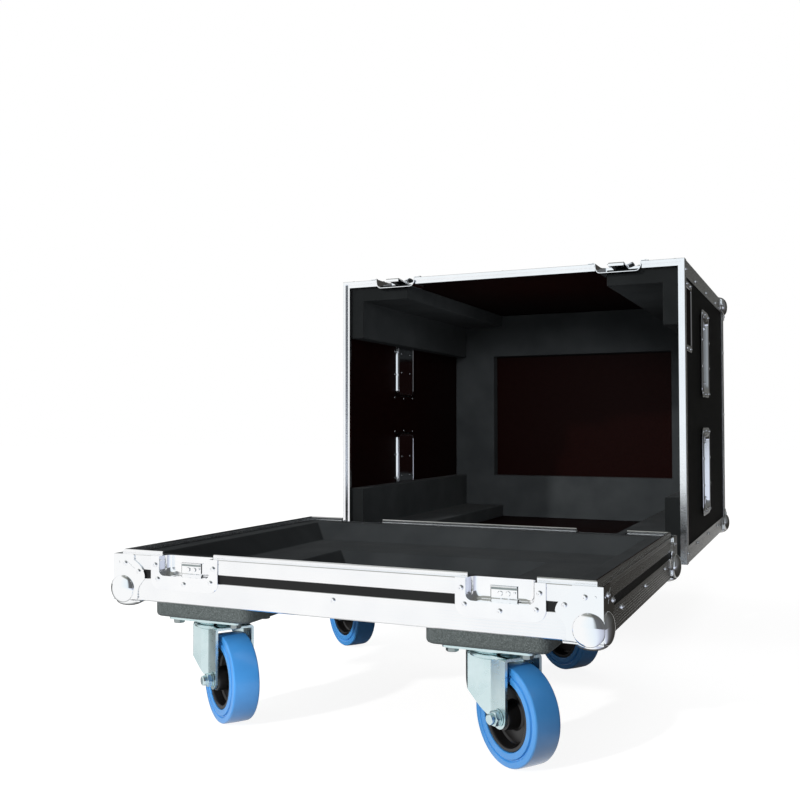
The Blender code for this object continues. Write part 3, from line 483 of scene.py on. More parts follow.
FINISH = {
    "panel": panel(), "aluminium": aluminium(), "chrome": chrome(), "laminate": laminate(),
    "lining": lining(), "foam": foam(), "riser": riser_coat(), "void": void(),
    "plate": clouded("bright_plate", (0.95, 0.96, 0.97), 0.1, 1.0, (30, 4), (0.05, 0.14),
                     (500, 0.05), ((0.92, 0.93, 0.95), (0.98, 0.985, 0.99))),
    "zinc": clouded("zinc_plate", (0.66, 0.76, 0.77), 0.3, 1.0, (45, 5), (0.2, 0.36),
                    (700, 0.08), ((0.58, 0.73, 0.75), (0.73, 0.86, 0.88))),
    "steel": clouded("grey_steel", (0.34, 0.38, 0.38), 0.42, 1.0, (120, 4), (0.34, 0.5),
                     (900, 0.1), ((0.27, 0.31, 0.31), (0.40, 0.44, 0.44))),
    "rubber": clouded("blue_rubber", (0.045, 0.24, 0.58), 0.36, 0.0, (30, 4), (0.28, 0.42),
                      (900, 0.08), ((0.040, 0.225, 0.56), (0.054, 0.265, 0.63)),
                      {"Coat Weight": 0.5, "Coat Roughness": 0.12}),
    "nylon": clouded("black_nylon", (0.006, 0.0055, 0.0055), 0.30, 0.0, (60, 4), (0.24, 0.42),
                     (1100, 0.12)),
    "sleeve": clouded("grip_sleeve", (0.55, 0.57, 0.58), 0.34, 0.9, (60, 4), (0.25, 0.45),
                      (900, 0.1))}
LOOK_OF = {"black_laminate": "laminate", "aluminium": "aluminium", "chrome": "chrome",
           "zinc_plate": "zinc", "charcoal_foam": "foam", "textured_block": "riser",
           "black_nylon": "nylon", "blue_rubber": "rubber", "black_grip": "sleeve"}
SLOT_OF = {look: slot for slot, look in LOOK_OF.items()}
SLOT_OF.update(plate="chrome", steel="chrome", lining="black_laminate", void="black_laminate")
# The rivets' two looks: bright plate, and near-black painted shade in the stem holes.
PLATE_AND_HOLE_SHADE = ("plate", "void")


def finish_nodes():
    slots = {part["node"]: part["material_slot"] for part in frame["record"]["subparts"]}
    for name, node in nodes.items():
        look = "panel" if name.endswith("_panel") else LOOK_OF[slots[name]]
        for place in node.material_slots:
            place.link = "OBJECT"
            place.material = FINISH[look]


# Foam

def foam_piece(name, mesh, body, place, replaces=()):
    item = piece(name, bevelled(mesh, 0.0016, 3), "foam", body, place, replaces)


def add_foam():
    near = WALL + GAP
    far = near + FOAM
    band = near + FOAM_BAND
    top = LID_HEIGHT - WALL - 2 * GAP
    outer = HALF_WIDTH - near
    pad = outer - FOAM_PAD
    angle = [(pad, near), (outer, near), (outer, band), (HALF_WIDTH - far, band),
             (HALF_WIDTH - far, far), (pad, far)]
    for side, side_name in ((-1, "left"), (1, "right")):
        for end_name in ("front", "rear"):
            outline = [(side * x, DEPTH - y if end_name == "rear" else y) for x, y in angle]
            foam_piece(f"foam_strip_{end_name}_{side_name}",
                       prism(outline, "z", FOAM_SETBACK, top - FOAM - 0.0004), "lid", LID)
    frame_profile = [(near, top - FOAM), (near, top), (band, top), (band, top - FOAM)]
    foam_piece("foam_top_frame", ring_of(frame_profile), "lid", LID, ("lid_foam",))

    low = -TRAY_HEIGHT + near
    lip = -0.0014
    slope = LEDGE_DROP + lip
    middle = DEPTH / 2
    wide = outer - SHEET
    deep = middle - near - SHEET
    ledge_x = HALF_WIDTH - WALL - FOAM - slope
    ledge_y = middle - WALL - FOAM - slope
    hole_x = ledge_x - LEDGE_X
    hole_y = ledge_y - LEDGE_Y
    drop = -LEDGE_DROP - low
    sizes = [(wide, deep, low), (wide, deep, lip), (ledge_x + slope, ledge_y + slope, lip),
             (ledge_x, ledge_y, -LEDGE_DROP), (hole_x, hole_y, -LEDGE_DROP),
             (hole_x - drop, hole_y - drop, low)]
    rows = [[(-x, middle - y, z), (x, middle - y, z), (x, middle + y, z), (-x, middle + y, z)]
            for x, y, z in sizes]
    pockets = latch_places(block((-0.0372, -0.01, -0.025), (0.0372, 0.0162, 0.01)))
    liner = cut(loft(rows + rows[:1]), pockets)
    foam_piece("tray_foam_liner", liner, "tray", TRAY, ("tray_foam",))
    margin = 0.01
    floor = block((-hole_x - margin, middle - hole_y - margin, low - 0.0002),
                  (hole_x + margin, middle + hole_y + margin, low - 0.00005))
    piece("tray_floor_lining", floor, "lining", "tray", TRAY)


# Extrusions

def grooves(start, end, count):
    """Shallow drawn grooves up a face, as (inset, height) pairs."""
    depth = 0.00016
    points = []
    pitch = (end - start) / count
    for index in range(count):
        foot = start + pitch * index
        points += [(0, foot + pitch * 0.25), (depth, foot + pitch * 0.42),
                   (depth, foot + pitch * 0.58), (0, foot + pitch * 0.75)]
    return points


def latch_places(mesh):
    """A mesh made for the front, at each of the four latch places."""
    return [moved(mesh, wall @ at(side * LATCH_X, 0, 0)) for wall in (WORLD, BEHIND)
            for side in (-1, 1)]


def add_extrusions():
    notches = latch_places(block((-0.0356, -0.02, -0.03), (0.0356, 0.02, 0.03)))
    tray_rim = [(0.0005, -RIM_LEG), (0, -RIM_LEG + 0.0005)] + grooves(-0.0058, -0.0030, 1) \
        + [(0, -0.0007), (0.0007, 0), (0.0058, 0), (0.0058, 0.0034), (0.0066, 0.0045),
           (0.0082, 0.0045), (0.009, 0.0034), (0.009, 0), (0.0103, 0), (0.0103, -0.0065),
           (0.0091, -0.0065), (0.0091, -0.002), (SHEET, -0.002), (SHEET, -RIM_LEG)]
    piece("tray_rim_extrusion", cut(ring_of(tray_rim), notches), "aluminium", "tray", TRAY,
          ("tray_rim",))

    low = -TRAY_HEIGHT
    edge = [(LEG, low), (0.0012, low), (0, low + 0.0012)] + grooves(low + 0.003, low + 0.021, 6) \
        + [(0, low + LEG - 0.0005), (0.0005, low + LEG), (SHEET, low + LEG),
           (SHEET, low + SHEET), (LEG, low + SHEET)]
    piece("tray_edge_extrusion", ring_of(edge), "aluminium", "tray", TRAY, ("tray_edge",))

    lid_rim = [(0.0005, GAP), (0, GAP + 0.0005)] + grooves(0.0016, 0.0052, 2) \
        + grooves(0.0128, 0.0158, 2) \
        + [(0, RIM_LEG - 0.0005), (0.0005, RIM_LEG), (SHEET, RIM_LEG), (SHEET, 0.007),
           (0.0091, 0.007), (0.0091, 0.0115), (0.0103, 0.0115), (0.0103, 0.005), (0.0048, 0.005),
           (0.0048, GAP)]
    piece("lid_rim_extrusion", cut(ring_of(lid_rim), notches), "aluminium", "lid", LID,
          ("lid_rim",))

    top = LID_HEIGHT
    cap = [(0.0005, top - LEG), (0, top - LEG + 0.0005)] + grooves(top - 0.022, top - 0.004, 9) \
        + [(0, top - 0.0012), (0.0012, top), (LEG, top), (LEG, top - SHEET),
           (SHEET, top - SHEET), (SHEET, top - LEG)]
    bars = [ring_of(cap)]
    skin = 0.0001
    ridges = [(along, skin + inset) for inset, along in grooves(0.004, 0.022, 9)]
    upright = [(0.0012, skin)] + ridges \
        + [(LEG, skin), (LEG, 0.0014), (0.0014, 0.0014), (0.0014, LEG), (skin, LEG)] \
        + [(inset, along) for along, inset in reversed(ridges)] + [(skin, 0.0012)]
    for side in (-1, 1):
        for rear in (False, True):
            outline = [(side * (HALF_WIDTH - across), DEPTH - back if rear else back)
                       for across, back in upright]
            bars.append(prism(outline, "z", RIM_LEG + GAP, top - 0.0008))
    piece("lid_edge_extrusions", joined(bars), "aluminium", "lid", LID, ("lid_edges",))


# Fasteners

def rivet(radius=0.0030):
    """A domed rivet head; the hole of its pulled stem gets the second look, near-black painted shade."""
    profile = [(0, -0.0003), (radius, -0.0003), (radius, 0.0001), (radius * 0.97, 0.0006),
               (radius * 0.86, 0.0012), (radius * 0.68, 0.0017), (radius * 0.48, 0.0020),
               (radius * 0.34, 0.0020), (radius * 0.30, 0.0012), (0, 0.0010)]
    head = turned(profile, 18)
    # painted shade: the faces of the stem's shallow hole take the near-black second look
    for face in head.polygons:
        away = math.hypot(face.center.x, face.center.y)
        if away < radius * 0.31 and face.normal.z > -0.5:
            face.material_index = 1
    return head


def set_on(mesh, points, facing):
    """Copies of a mesh, its z axis turned to the way that the surface faces."""
    around = Vector((0, 0, 1)).rotation_difference(Vector(facing)).to_matrix().to_4x4()
    return [moved(mesh, at(*point) @ around) for point in points]


def on_ends(head, spots, out):
    """Heads at (across, up) spots on the front and rear walls, out from the wall."""
    return [each for wall, facing in ((-out, -1), (DEPTH + out, 1))
            for each in set_on(head, [(x, wall, z) for x, z in spots], (0, facing, 0))]


def on_sides(head, spots, out):
    """Heads at (back, up) spots on the left and right walls, out from the wall."""
    return [each for side in (-1, 1)
            for each in set_on(head, [(side * (HALF_WIDTH + out), y, z) for y, z in spots],
                               (side, 0, 0))]


def add_rivets():
    head = rivet()
    skin = 0.0001
    edge_z = -0.0335
    catch = [(-0.040, -0.010), (0.040, -0.010), (-0.0365, -0.026), (0.0365, -0.026),
             (0, -0.030)]
    brace_ends = [(0.2715, -0.0105), (0.252, -0.019)]
    brace_sides = [(0.0175, -0.0098), (0.0396, -0.0181)]
    tray = on_ends(head, [(0.004, edge_z)], skin)
    tray += on_ends(head, [(side * LATCH_X + x, z) for side in (-1, 1) for x, z in catch], LEAF)
    tray += on_ends(head, [(side * x, z) for side in (-1, 1) for x, z in brace_ends],
                    LEAF + skin)
    tray += on_sides(head, [(y, z) for back, z in brace_sides for y in (back, DEPTH - back)],
                     SHEET)
    tray += on_sides(head, [(back, edge_z) for back in (0.0895, 0.2260, 0.3655)], skin)
    tray += set_on(rivet(0.0024), [(x, y, -TRAY_HEIGHT - SHEET) for x in (-0.262, 0.262)
                                   for y in (0.016, DEPTH - 0.016)], (0, 0, -1))
    piece("tray_rivets", joined(tray), PLATE_AND_HOLE_SHADE, "tray", TRAY)

    rim_z = 0.0123
    mouth = 0.0154
    inset = 0.0190
    high = LID_HEIGHT - inset
    up = (0.124, 0.267, 0.414)
    across = (-0.165, 0, 0.165)
    along = (0.105, DEPTH / 2, DEPTH - 0.105)
    lid = on_sides(head, [(y, z) for y in (inset, DEPTH - inset) for z in up]
                   + [(y, rim_z) for y in (mouth, DEPTH - mouth)] + [(y, high) for y in along],
                   skin)
    lid += on_ends(head, [(side * (HALF_WIDTH - inset), z) for side in (-1, 1) for z in up]
                   + [(side * (HALF_WIDTH - mouth), rim_z) for side in (-1, 1)]
                   + [(x, high) for x in across] + [(0, rim_z)], skin)
    lid += set_on(head, [(x, y, LID_HEIGHT + skin) for x in across for y in (inset, DEPTH - inset)]
                  + [(side * (HALF_WIDTH - inset), y, LID_HEIGHT + skin) for side in (-1, 1)
                     for y in along], (0, 0, 1))

    corner_spots = ((0.031, 0.0095), (0.0095, 0.031))
    lid += on_sides(head, [(y, LID_HEIGHT - down) for back, down in corner_spots
                           for y in (back, DEPTH - back)], LEAF + skin)
    lid += on_ends(head, [(side * (HALF_WIDTH - inwards), LID_HEIGHT - down) for side in (-1, 1)
                          for inwards, down in corner_spots], LEAF + skin)
    lid += set_on(head, [(side * (HALF_WIDTH - inwards), y, LID_HEIGHT + LEAF + skin)
                         for side in (-1, 1) for inwards, back in corner_spots
                         for y in (back, DEPTH - back)], (0, 0, 1))
    latch = [(side * x, z) for x, z in ((0.0405, 0.012), (0.0405, 0.040), (0.022, 0.0585))
             for side in (-1, 1)]
    lid += on_ends(head, [(side * LATCH_X + x, z) for side in (-1, 1) for x, z in latch], LEAF)
    piece("lid_rivets", joined(lid), PLATE_AND_HOLE_SHADE, "lid", LID)


# Strips

def add_strips():
    """The black strips let into the tray's walls."""
    near, far = 0.0008, 0.0024
    low, high = -0.0263, -0.0172
    end = 0.044
    bars = [((left, near, low), (right, far, high))
            for left, right in ((-0.1418, 0.1418), (-0.2455, -0.2345), (0.2345, 0.2455))]
    bars.append(((HALF_WIDTH - far, end, low), (HALF_WIDTH - near, DEPTH - end, high)))
    half = joined([bevelled(block(*corners), 0.0002) for corners in bars])
    piece("tray_strips", joined([half, moved(half, BEHIND)]), "laminate", "tray", TRAY)


# Catches and latches

def pan_outline(half_width, height, radius, steps=7):
    """Open at height 0, from the left end round to the right."""
    radius = max(radius, 0.0004)
    outline = [(-half_width, 0)]
    outline += arc((-half_width + radius, height - radius), radius, 180, 90, steps)
    outline += arc((half_width - radius, height - radius), radius, 90, 0, steps)
    return outline + [(half_width, 0)]


def pan(height, foot, corner, flange_corner):
    """A pressed recess that is open at the joint, in (across, away from the joint, inwards)."""
    face = -0.0014
    floor = 0.0138
    rows = ((0.0465, foot, flange_corner, face + 0.0006),
            (0.0462, foot - 0.0003, flange_corner, face),
            (0.0358, 0.0008, corner + 0.0008, face),
            (0.0350, 0, corner, face + 0.0004),
            (0.0346, -0.0002, corner, face + 0.0014),
            (0.0340, -0.0004, corner, floor - 0.0072),
            (0.0332, -0.0006, corner, floor - 0.0046),
            (0.0318, -0.0012, corner, floor - 0.0022),
            (0.0300, -0.0022, corner, floor - 0.0007),
            (0.0278, -0.0036, corner, floor))
    points = [[(u, v, depth) for u, v in pan_outline(half_width, height + beyond, radius)]
              for half_width, beyond, radius, depth in rows]
    count = len(points[0])
    left = count * (len(rows) - 1)
    right = left + count - 1
    across = [(left + here, left + here + 1, right - here - 1, right - here)
              for here in range(count // 2 - 1)]
    return pressed(loft(points, closed=False, more=across), 0.0010)


def add_catches():
    """The tray's four catches, each a dish with a strike plate, two buttons and a pin, with painted shadows round
    and under the strike plate.
    """
    downwards = Matrix(((1, 0, 0, 0), (0, 0, 1, 0), (0, -1, 0, 0), (0, 0, 0, 1)))
    dish = moved(pan(0.022, 0.016, 0.0065, 0.012), downwards)
    back = 0.0139
    strike = [(back, -0.0079), (0.0092, -0.0079), (0.0091, -0.0082), (0.0091, -0.0088),
              (0.0127, -0.0090), (0.0129, -0.0094), (0.0129, -0.0207), (0.0131, -0.0211),
              (back, -0.0211)]
    strike = bevelled(prism(strike, "x", -0.0135, 0.0135), 0.0003, 2, 40)
    button = turned([(0, 0), (0.0026, 0), (0.0026, 0.0005), (0.0021, 0.0011), (0, 0.0013)], 18)
    pin = turned([(0, 0), (0.0012, 0), (0.0012, 0.0009), (0.0007, 0.0013), (0, 0.0013)], 12)
    marks = set_on(button, [(x, 0.0129, -0.0152) for x in (-0.0038, 0.0042)], (0, -1, 0)) \
        + set_on(pin, [(0.0112, 0.0129, -0.0140)], (0, -1, 0))
    catches = joined(latch_places(joined([dish, strike] + marks)))
    piece("catch_dishes", catches, "plate", "tray", TRAY)
    # painted shadow: a near-black sheet a little wider and lower than the strike plate, showing as a dark line
    # round its sides and bottom
    shadow_rim = bevelled(block((-0.0141, 0.0132, -0.0218), (0.0141, 0.0138, -0.0078)), 0.0002)
    piece("catch_painted_shadows", joined(latch_places(shadow_rim)), "void", "tray", TRAY)
    # painted shadow: a darker grey steel strip just under the strike plate's top fold
    fold_shadow_band = bevelled(block((-0.0132, 0.0127, -0.0116), (0.0132, 0.0131, -0.0091)), 0.0003)
    piece("catch_fold_shadows", joined(latch_places(fold_shadow_band)), "steel", "tray", TRAY)


def add_latch_dishes():
    upwards = Matrix(((1, 0, 0, 0), (0, 0, 1, 0), (0, 1, 0, GAP), (0, 0, 0, 1)))
    dish = moved(pan(0.052, 0.0115, 0.0075, 0.014), upwards)
    seat = bevelled(block((-0.012, 0.0103, 0.0412), (0.012, 0.0139, 0.0468)), 0.0006)
    piece("latch_dishes", joined(latch_places(joined([dish, seat]))), "plate", "lid", LID)


def hook():
    """The draw hook about its pivot: rolled barrel, arm with a raised rib and a curled foot."""
    foot = -0.0540
    arm = [(-0.0010, 0.0022), (0.0010, 0.0022), (0.0010, foot + 0.0022), (0.0016, foot + 0.0008),
           (0.0030, foot), (0.0046, foot), (0.0052, foot - 0.0008), (0.0050, foot - 0.0018),
           (0.0036, foot - 0.0020), (0.0012, foot - 0.0019), (-0.0002, foot - 0.0012),
           (-0.0010, foot + 0.0004)]
    plate = bevelled(prism(arm, "x", -0.0118, 0.0118), 0.0004, 2, 40)
    barrel = turned(mirrored([(0, -0.0131), (0.0024, -0.0131), (0.0028, -0.0127)]), 24, "x")
    rib = bevelled(block((-0.004, -0.0016, -0.046), (0.004, -0.0009, -0.034)), 0.0006, 2)
    return joined([plate, barrel, rib])


def butterfly():
    """The key about its axis: a stepped hub and two curved wings with rolled edges."""
    hub = turned([(0, 0), (0.0105, 0), (0.0105, -0.0012), (0.0098, -0.0020), (0.0060, -0.0024),
                  (0.0052, -0.0034), (0.0042, -0.0036), (0, -0.0034)], 32, "y")
    steps = 10
    across = [2 * step / steps - 1 for step in range(steps + 1)]
    wings = []
    for side in (-1, 1):
        rows = []
        for index in range(steps + 1):
            share = index / steps
            reach = 0.0035 + 0.0165 * share
            rise = 0.0004 + 0.0044 * share ** 1.5
            half = 0.0066 + 0.0044 * math.sin(math.pi * min(share * 1.15, 1) * 0.62)
            if index == steps:
                half *= 0.86
            rows.append([(side * reach, -rise - 0.0008 * (1 - part ** 2), half * part)
                         for part in across])
        sheet = loft(rows, closed=False)
        wings.append(bevelled(thickened(sheet, 0.0014, 0), 0.0004, 2, 40))
    return joined([hub] + wings)


def add_latch_parts():
    """The hooks on their pivots, drawn out by 5 degrees, and the keys on the hooks."""
    pivot = 0.007
    for place in PLACES:
        rear = place.startswith("rear")
        side = -1 if place.endswith("left") else 1
        seat = LID @ at(side * LATCH_X, DEPTH - pivot if rear else pivot, 0.044) \
            @ (turn(180, "Z") if rear else WORLD) @ turn(-5, "X")
        piece(f"latch_hook_{place}_dressed", hook(), "plate", f"latch_hook_{place}", seat,
              (f"latch_hook_{place}",))
        piece(f"latch_key_{place}_dressed", butterfly(), "plate", f"latch_key_{place}",
              seat @ at(0, -0.0013, -0.018), (f"latch_key_{place}",))


# Handles: dish and rivets in (across, up, inwards), and the bail about its pins

FLANGE = -0.0015
DISH_BACK = 0.0135


def handle_dish():
    """The pressed dish, with a bead and four bosses on its floor."""
    half_u, half_v = 0.0625, 0.0365
    rows = [(0.0115, 0.0155, FLANGE + 0.0008), (0.0111, 0.0151, FLANGE), (0.0030, 0.0120, FLANGE),
            (0.0016, 0.0112, FLANGE - 0.0007), (0.0002, 0.0102, FLANGE - 0.0004),
            (-0.0003, 0.0098, FLANGE + 0.0006), (-0.0026, 0.0080, 0.0108),
            (-0.0042, 0.0070, 0.0124), (-0.0065, 0.0060, 0.0124)]
    sheet = loft([rounded_at(depth, half_u + out, half_v + out, radius, 6)
                  for out, radius, depth in rows], fill_last=True)
    bead = [(0.0034, -0.0012), (0.0034, 0.0002), (0.0029, 0.0009), (0.0021, 0.0011),
            (0.0013, 0.0009), (0.0008, 0.0002), (0.0008, -0.0012)]
    ring = loft([rounded_at(DISH_BACK + up, half_u - 0.0042 + out, half_v - 0.0042 + out,
                            0.0070 + out, 6) for out, up in bead])
    boss = turned([(0, 0.0122), (0.0062, 0.0122), (0.0060, 0.0108), (0.0044, 0.0098),
                   (0, 0.0096)], 20)
    bosses = set_on(boss, [(across, up, 0) for across in (-0.040, 0.040)
                           for up in (-0.019, 0.019)], (0, 0, 1))
    return joined([pressed(sheet, 0.0011), ring] + bosses)


def handle_rivets():
    """Heads on the dish's flange, their tails inside the lid, and the screws' ends."""
    spots = [(across, up) for across in (-0.0668, -0.0222, 0.0222, 0.0668)
             for up in (-0.0418, 0.0418)] + [(-0.0683, 0), (0.0683, 0)]
    tail = turned([(0, 0), (0.0024, 0), (0.0021, 0.0008), (0.0012, 0.0012), (0, 0.0012)], 14)
    return joined(set_on(rivet(), [(*spot, FLANGE) for spot in spots], (0, 0, -1))
                  + set_on(tail, [(*spot, 0.0089) for spot in spots], (0, 0, 1))
                  + set_on(tail, [(across, up, DISH_BACK) for across in (-0.0185, 0.0185)
                                  for up in (-0.019, 0.019)], (0, 0, 1)))


def handle_bail():
    """Two arms on pins, with the return spring's coils round the pins."""
    outline = arc((0, 0), 0.0045, 0, 180, 10) + arc((0, -0.044), 0.0045, 180, 360, 10)
    parts = [bevelled(prism(outline, "y", low, low + 0.0030), 0.0005, 2, 50)
             for low in (-0.0490, 0.0460)]
    for side in (-1, 1):
        near = side * 0.0458
        far = side * 0.0595
        parts.append(turned([(0, near), (0.0025, near), (0.0025, far), (0, far)], 20, "y"))
        for index in range(5):
            parts.append(turned(mirrored([(0.0026, -0.0005), (0.0038, -0.0005)]), 20, "y",
                                (0, side * (0.0508 + 0.0013 * index), 0)))
    return joined(parts)


def add_handles():
    grip = mirrored([(0, -0.0455), (0.0052, -0.0455), (0.0060, -0.0447), (0.0060, -0.0430),
                     (0.0056, -0.0424), (0.0056, -0.0410), (0.0060, -0.0404)])
    middle = DEPTH / 2
    for side_name, side in (("left", -1), ("right", 1)):
        wall = Matrix(((0, 0, -side, side * HALF_WIDTH), (side, 0, 0, 0), (0, 1, 0, 0),
                       (0, 0, 0, 1)))
        for end_name, centre in (("front", middle - 0.0995), ("rear", middle + 0.0995)):
            place = f"{side_name}_{end_name}"
            set_in = LID @ at(0, centre, 0.2375) @ wall
            pivot = LID @ at(side * (HALF_WIDTH - 0.00625), centre, 0.2655)
            piece(f"handle_dish_{place}_dressed", handle_dish(), "plate", "lid", set_in,
                  (f"handle_dish_{place}",))
            piece(f"handle_rivets_{place}", handle_rivets(), PLATE_AND_HOLE_SHADE, "lid", set_in)
            piece(f"handle_bail_{place}", handle_bail(), "plate", f"handle_grip_{place}", pivot,
                  (f"handle_grip_{place}",))
            piece(f"handle_sleeve_{place}", turned(grip, 32, "y", (0, 0, -0.044)), "sleeve",
                  f"handle_grip_{place}", pivot)


def add_label_dish():
    """A shallow pressed frame for a card, on the right side near the joint, left bare."""
    half_u, half_v = 0.053, 0.0335
    rows = [(0, 0, 0.006, -0.0001), (0, 0, 0.006, 0.0010), (0.0005, 0.0005, 0.0058, 0.0014),
            (0.0085, 0.0055, 0.0040, 0.0014), (0.0090, 0.0060, 0.0038, 0.0010),
            (0.0094, 0.0064, 0.0036, 0.0002)]
    dish = loft([rounded_at(height, half_u - in_u, half_v - in_v, radius, 5)
                 for in_u, in_v, radius, height in rows], fill_last=True)
    place = LID @ at(HALF_WIDTH - 0.0017, 0.084, 0.0445) \
        @ Matrix(((0, 0, 1, 0), (1, 0, 0, 0), (0, 1, 0, 0), (0, 0, 0, 1)))
    piece("label_dish", dish, "plate", "lid", place)
    card = prism(rounded(half_u - 0.0100, half_v - 0.0070, 0.003, 4), "z", 0.0002, 0.0005)
    piece("label_card", card, "lining", "lid", place)
    heads = set_on(rivet(0.0025), [(across, up, 0.0014) for across in (-0.0488, 0.0488)
                                   for up in (-0.018, 0.018)], (0, 0, 1))
    piece("label_rivets", joined(heads), PLATE_AND_HOLE_SHADE, "lid", place)


# Corners

def brace_leaf():
    """The tray's front or side leaf, in (inset from the side, depth below the joint)."""
    return [(0, 0), (0.0295, 0), (0.0303, 0.0008), (0.0303, 0.0062), (0.0325, 0.0076),
            (0.0367, 0.0102), (0.0408, 0.0137), (0.0440, 0.0180), (0.0457, 0.0218),
            (0.0461, 0.0245), (0.0452, 0.0275), (0.0410, 0.0321), (0.0376, 0.0361),
            (0.0359, 0.0399), (0.0354, 0.0455), (0.0357, 0.0500), (0.0345, 0.0517),
            (0.0250, 0.0527), (0, 0.0527)]


def round_leaf(reach):
    """A leaf with a scalloped edge, in (across, up) from the corner."""
    edge = [(0.97, 0), (1, 0.05), (0.99, 0.26), (0.93, 0.36), (0.80, 0.42), (0.70, 0.52),
            (0.62, 0.62)]
    edge += [(up, across) for across, up in reversed(edge[:-1])]
    return [(0, 0)] + [(reach * across, reach * up) for across, up in edge]


def ball(radius, centre):
    """A finely meshed sphere."""
    made = bpy.data.meshes.new("ball")
    work = bmesh.new()
    bmesh.ops.create_uvsphere(work, u_segments=56, v_segments=36, radius=radius)
    work.to_mesh(made)
    work.free()
    made.transform(at(*centre))
    return made


def corner(front, side, bottom):
    """A ball corner for the front right bottom corner, which lies at 0, 0, 0."""
    leaves = [prism([(LEAF - u, v - LEAF) for u, v in front], "y", -LEAF, -0.0002),
              prism([(u - LEAF, v - LEAF) for u, v in side], "x", 0.0002, LEAF),
              prism([(LEAF - u, v - LEAF) for u, v in bottom], "z", -LEAF, -0.0002)]
    shell = bevelled(cut(leaves[0], leaves[1:], "UNION"), 0.0005, 3, 40)
    inset = 0.0125
    radius = 0.0212
    room = 0.08
    sphere = cut(ball(radius, (-inset, inset, inset)),
                 [block((-room, -0.0002, -0.0002), (0.0002, room, room))])
    parts = [shell, sphere]
    foot = math.sqrt(radius ** 2 - (inset + LEAF) ** 2) + 0.0004
    rise = radius - inset - LEAF + 0.0001
    dome = [(foot * math.cos(math.radians(angle)), rise * math.sin(math.radians(angle)))
            for angle in (0, 4, 8, 13, 19, 26, 34, 43, 53, 64, 76)] + [(0, rise)]
    for axis, spot, outward in (("y", (-inset, -LEAF, inset), -1),
                                ("x", (LEAF, inset, inset), 1), ("z", (-inset, inset, -LEAF), -1)):
        parts.append(turned([(out, up * outward) for out, up in dome], 72, axis, spot))
    return joined(parts)


def add_corners():
    front = [(u, TRAY_HEIGHT + LEAF - v) for u, v in brace_leaf()]
    plain = round_leaf(0.040)
    dimple = turned([(0, 0), (0.0016, 0), (0.0014, 0.0004), (0, 0.0005)], 14)
    crease = bevelled(block((-0.0085, -0.0003, -0.0002), (0.0085, 0.0003, 0.0003)), 0.0002)
    lower = joined([corner(front, front, plain)]
                   + set_on(dimple, [(-0.0065, -LEAF, 0.043)], (0, -1, 0))
                   + set_on(moved(crease, turn(35, "Z")), [(-0.0230, -LEAF, 0.0415)], (0, -1, 0))
                   + set_on(dimple, [(LEAF, 0.0065, 0.043)], (1, 0, 0))
                   + set_on(moved(crease, turn(-35, "Z")), [(LEAF, 0.0230, 0.0415)], (1, 0, 0)))
    upper = corner(plain, plain, plain)
    flip_x = Matrix.Scale(-1, 4, (1, 0, 0))
    flip_y = at(0, DEPTH, 0) @ Matrix.Scale(-1, 4, (0, 1, 0))
    under = at(0, 0, -TRAY_HEIGHT)
    over = at(0, 0, LID_HEIGHT) @ Matrix.Scale(-1, 4, (0, 0, 1))
    for name, flip in (("front_right", WORLD), ("front_left", flip_x), ("rear_right", flip_y),
                       ("rear_left", flip_y @ flip_x)):
        seat = flip @ at(HALF_WIDTH, 0, 0)
        piece(f"tray_ball_corner_{name}", moved(lower, under @ seat), "chrome", "tray", TRAY,
              (f"tray_corner_{name}",))
        piece(f"lid_ball_corner_{name}", moved(upper, over @ seat), "chrome", "lid", LID,
              (f"lid_corner_{name}",))


# Castors

def castor_frames():
    """The place of each castor: its swivel's foot, turned so that +X is the way it trails."""
    places = {}
    for place in PLACES:
        swivel = Vector(joints[f"castor_swivel_{place}"]["pos_m"])
        spin = Vector(joints[f"castor_spin_{place}"]["pos_m"])
        trail = spin - swivel
        angle = math.atan2(trail.y, trail.x)
        places[place] = (Matrix.Translation(swivel) @ Matrix.Rotation(angle, 4, "Z"),
                         math.hypot(trail.x, trail.y), -trail.z)
    return places


def tyre():
    """Flat tread with an eased edge, flat sides, a groove, and a ring round the core."""
    half = [(0.0342, 0.0140), (0.0344, 0.0150), (0.0352, 0.0156), (0.0398, 0.0158),
            (0.0406, 0.0154), (0.0410, 0.0142), (0.0415, 0.0136), (0.0423, 0.0136),
            (0.0428, 0.0142), (0.0431, 0.0149), (0.0437, 0.0153), (0.0484, 0.0151),
            (0.0489, 0.0148), (0.0495, 0.0139), (0.0497, 0.0134), (0.0499, 0.0080), (0.0500, 0.0)]
    return turned(mirrored(half), 96, "y")


def core():
    """The wheel's core: hub with its bearing covers, web and rim."""
    half = [(0.0063, 0.0197), (0.0110, 0.0197), (0.0125, 0.0190), (0.0130, 0.0170),
            (0.0138, 0.0050), (0.0155, 0.0034), (0.0262, 0.0030), (0.0280, 0.0044),
            (0.0294, 0.0120), (0.0299, 0.0136), (0.0308, 0.0143), (0.0334, 0.0143),
            (0.0339, 0.0137)]
    return turned(mirrored(half), 96, "y")


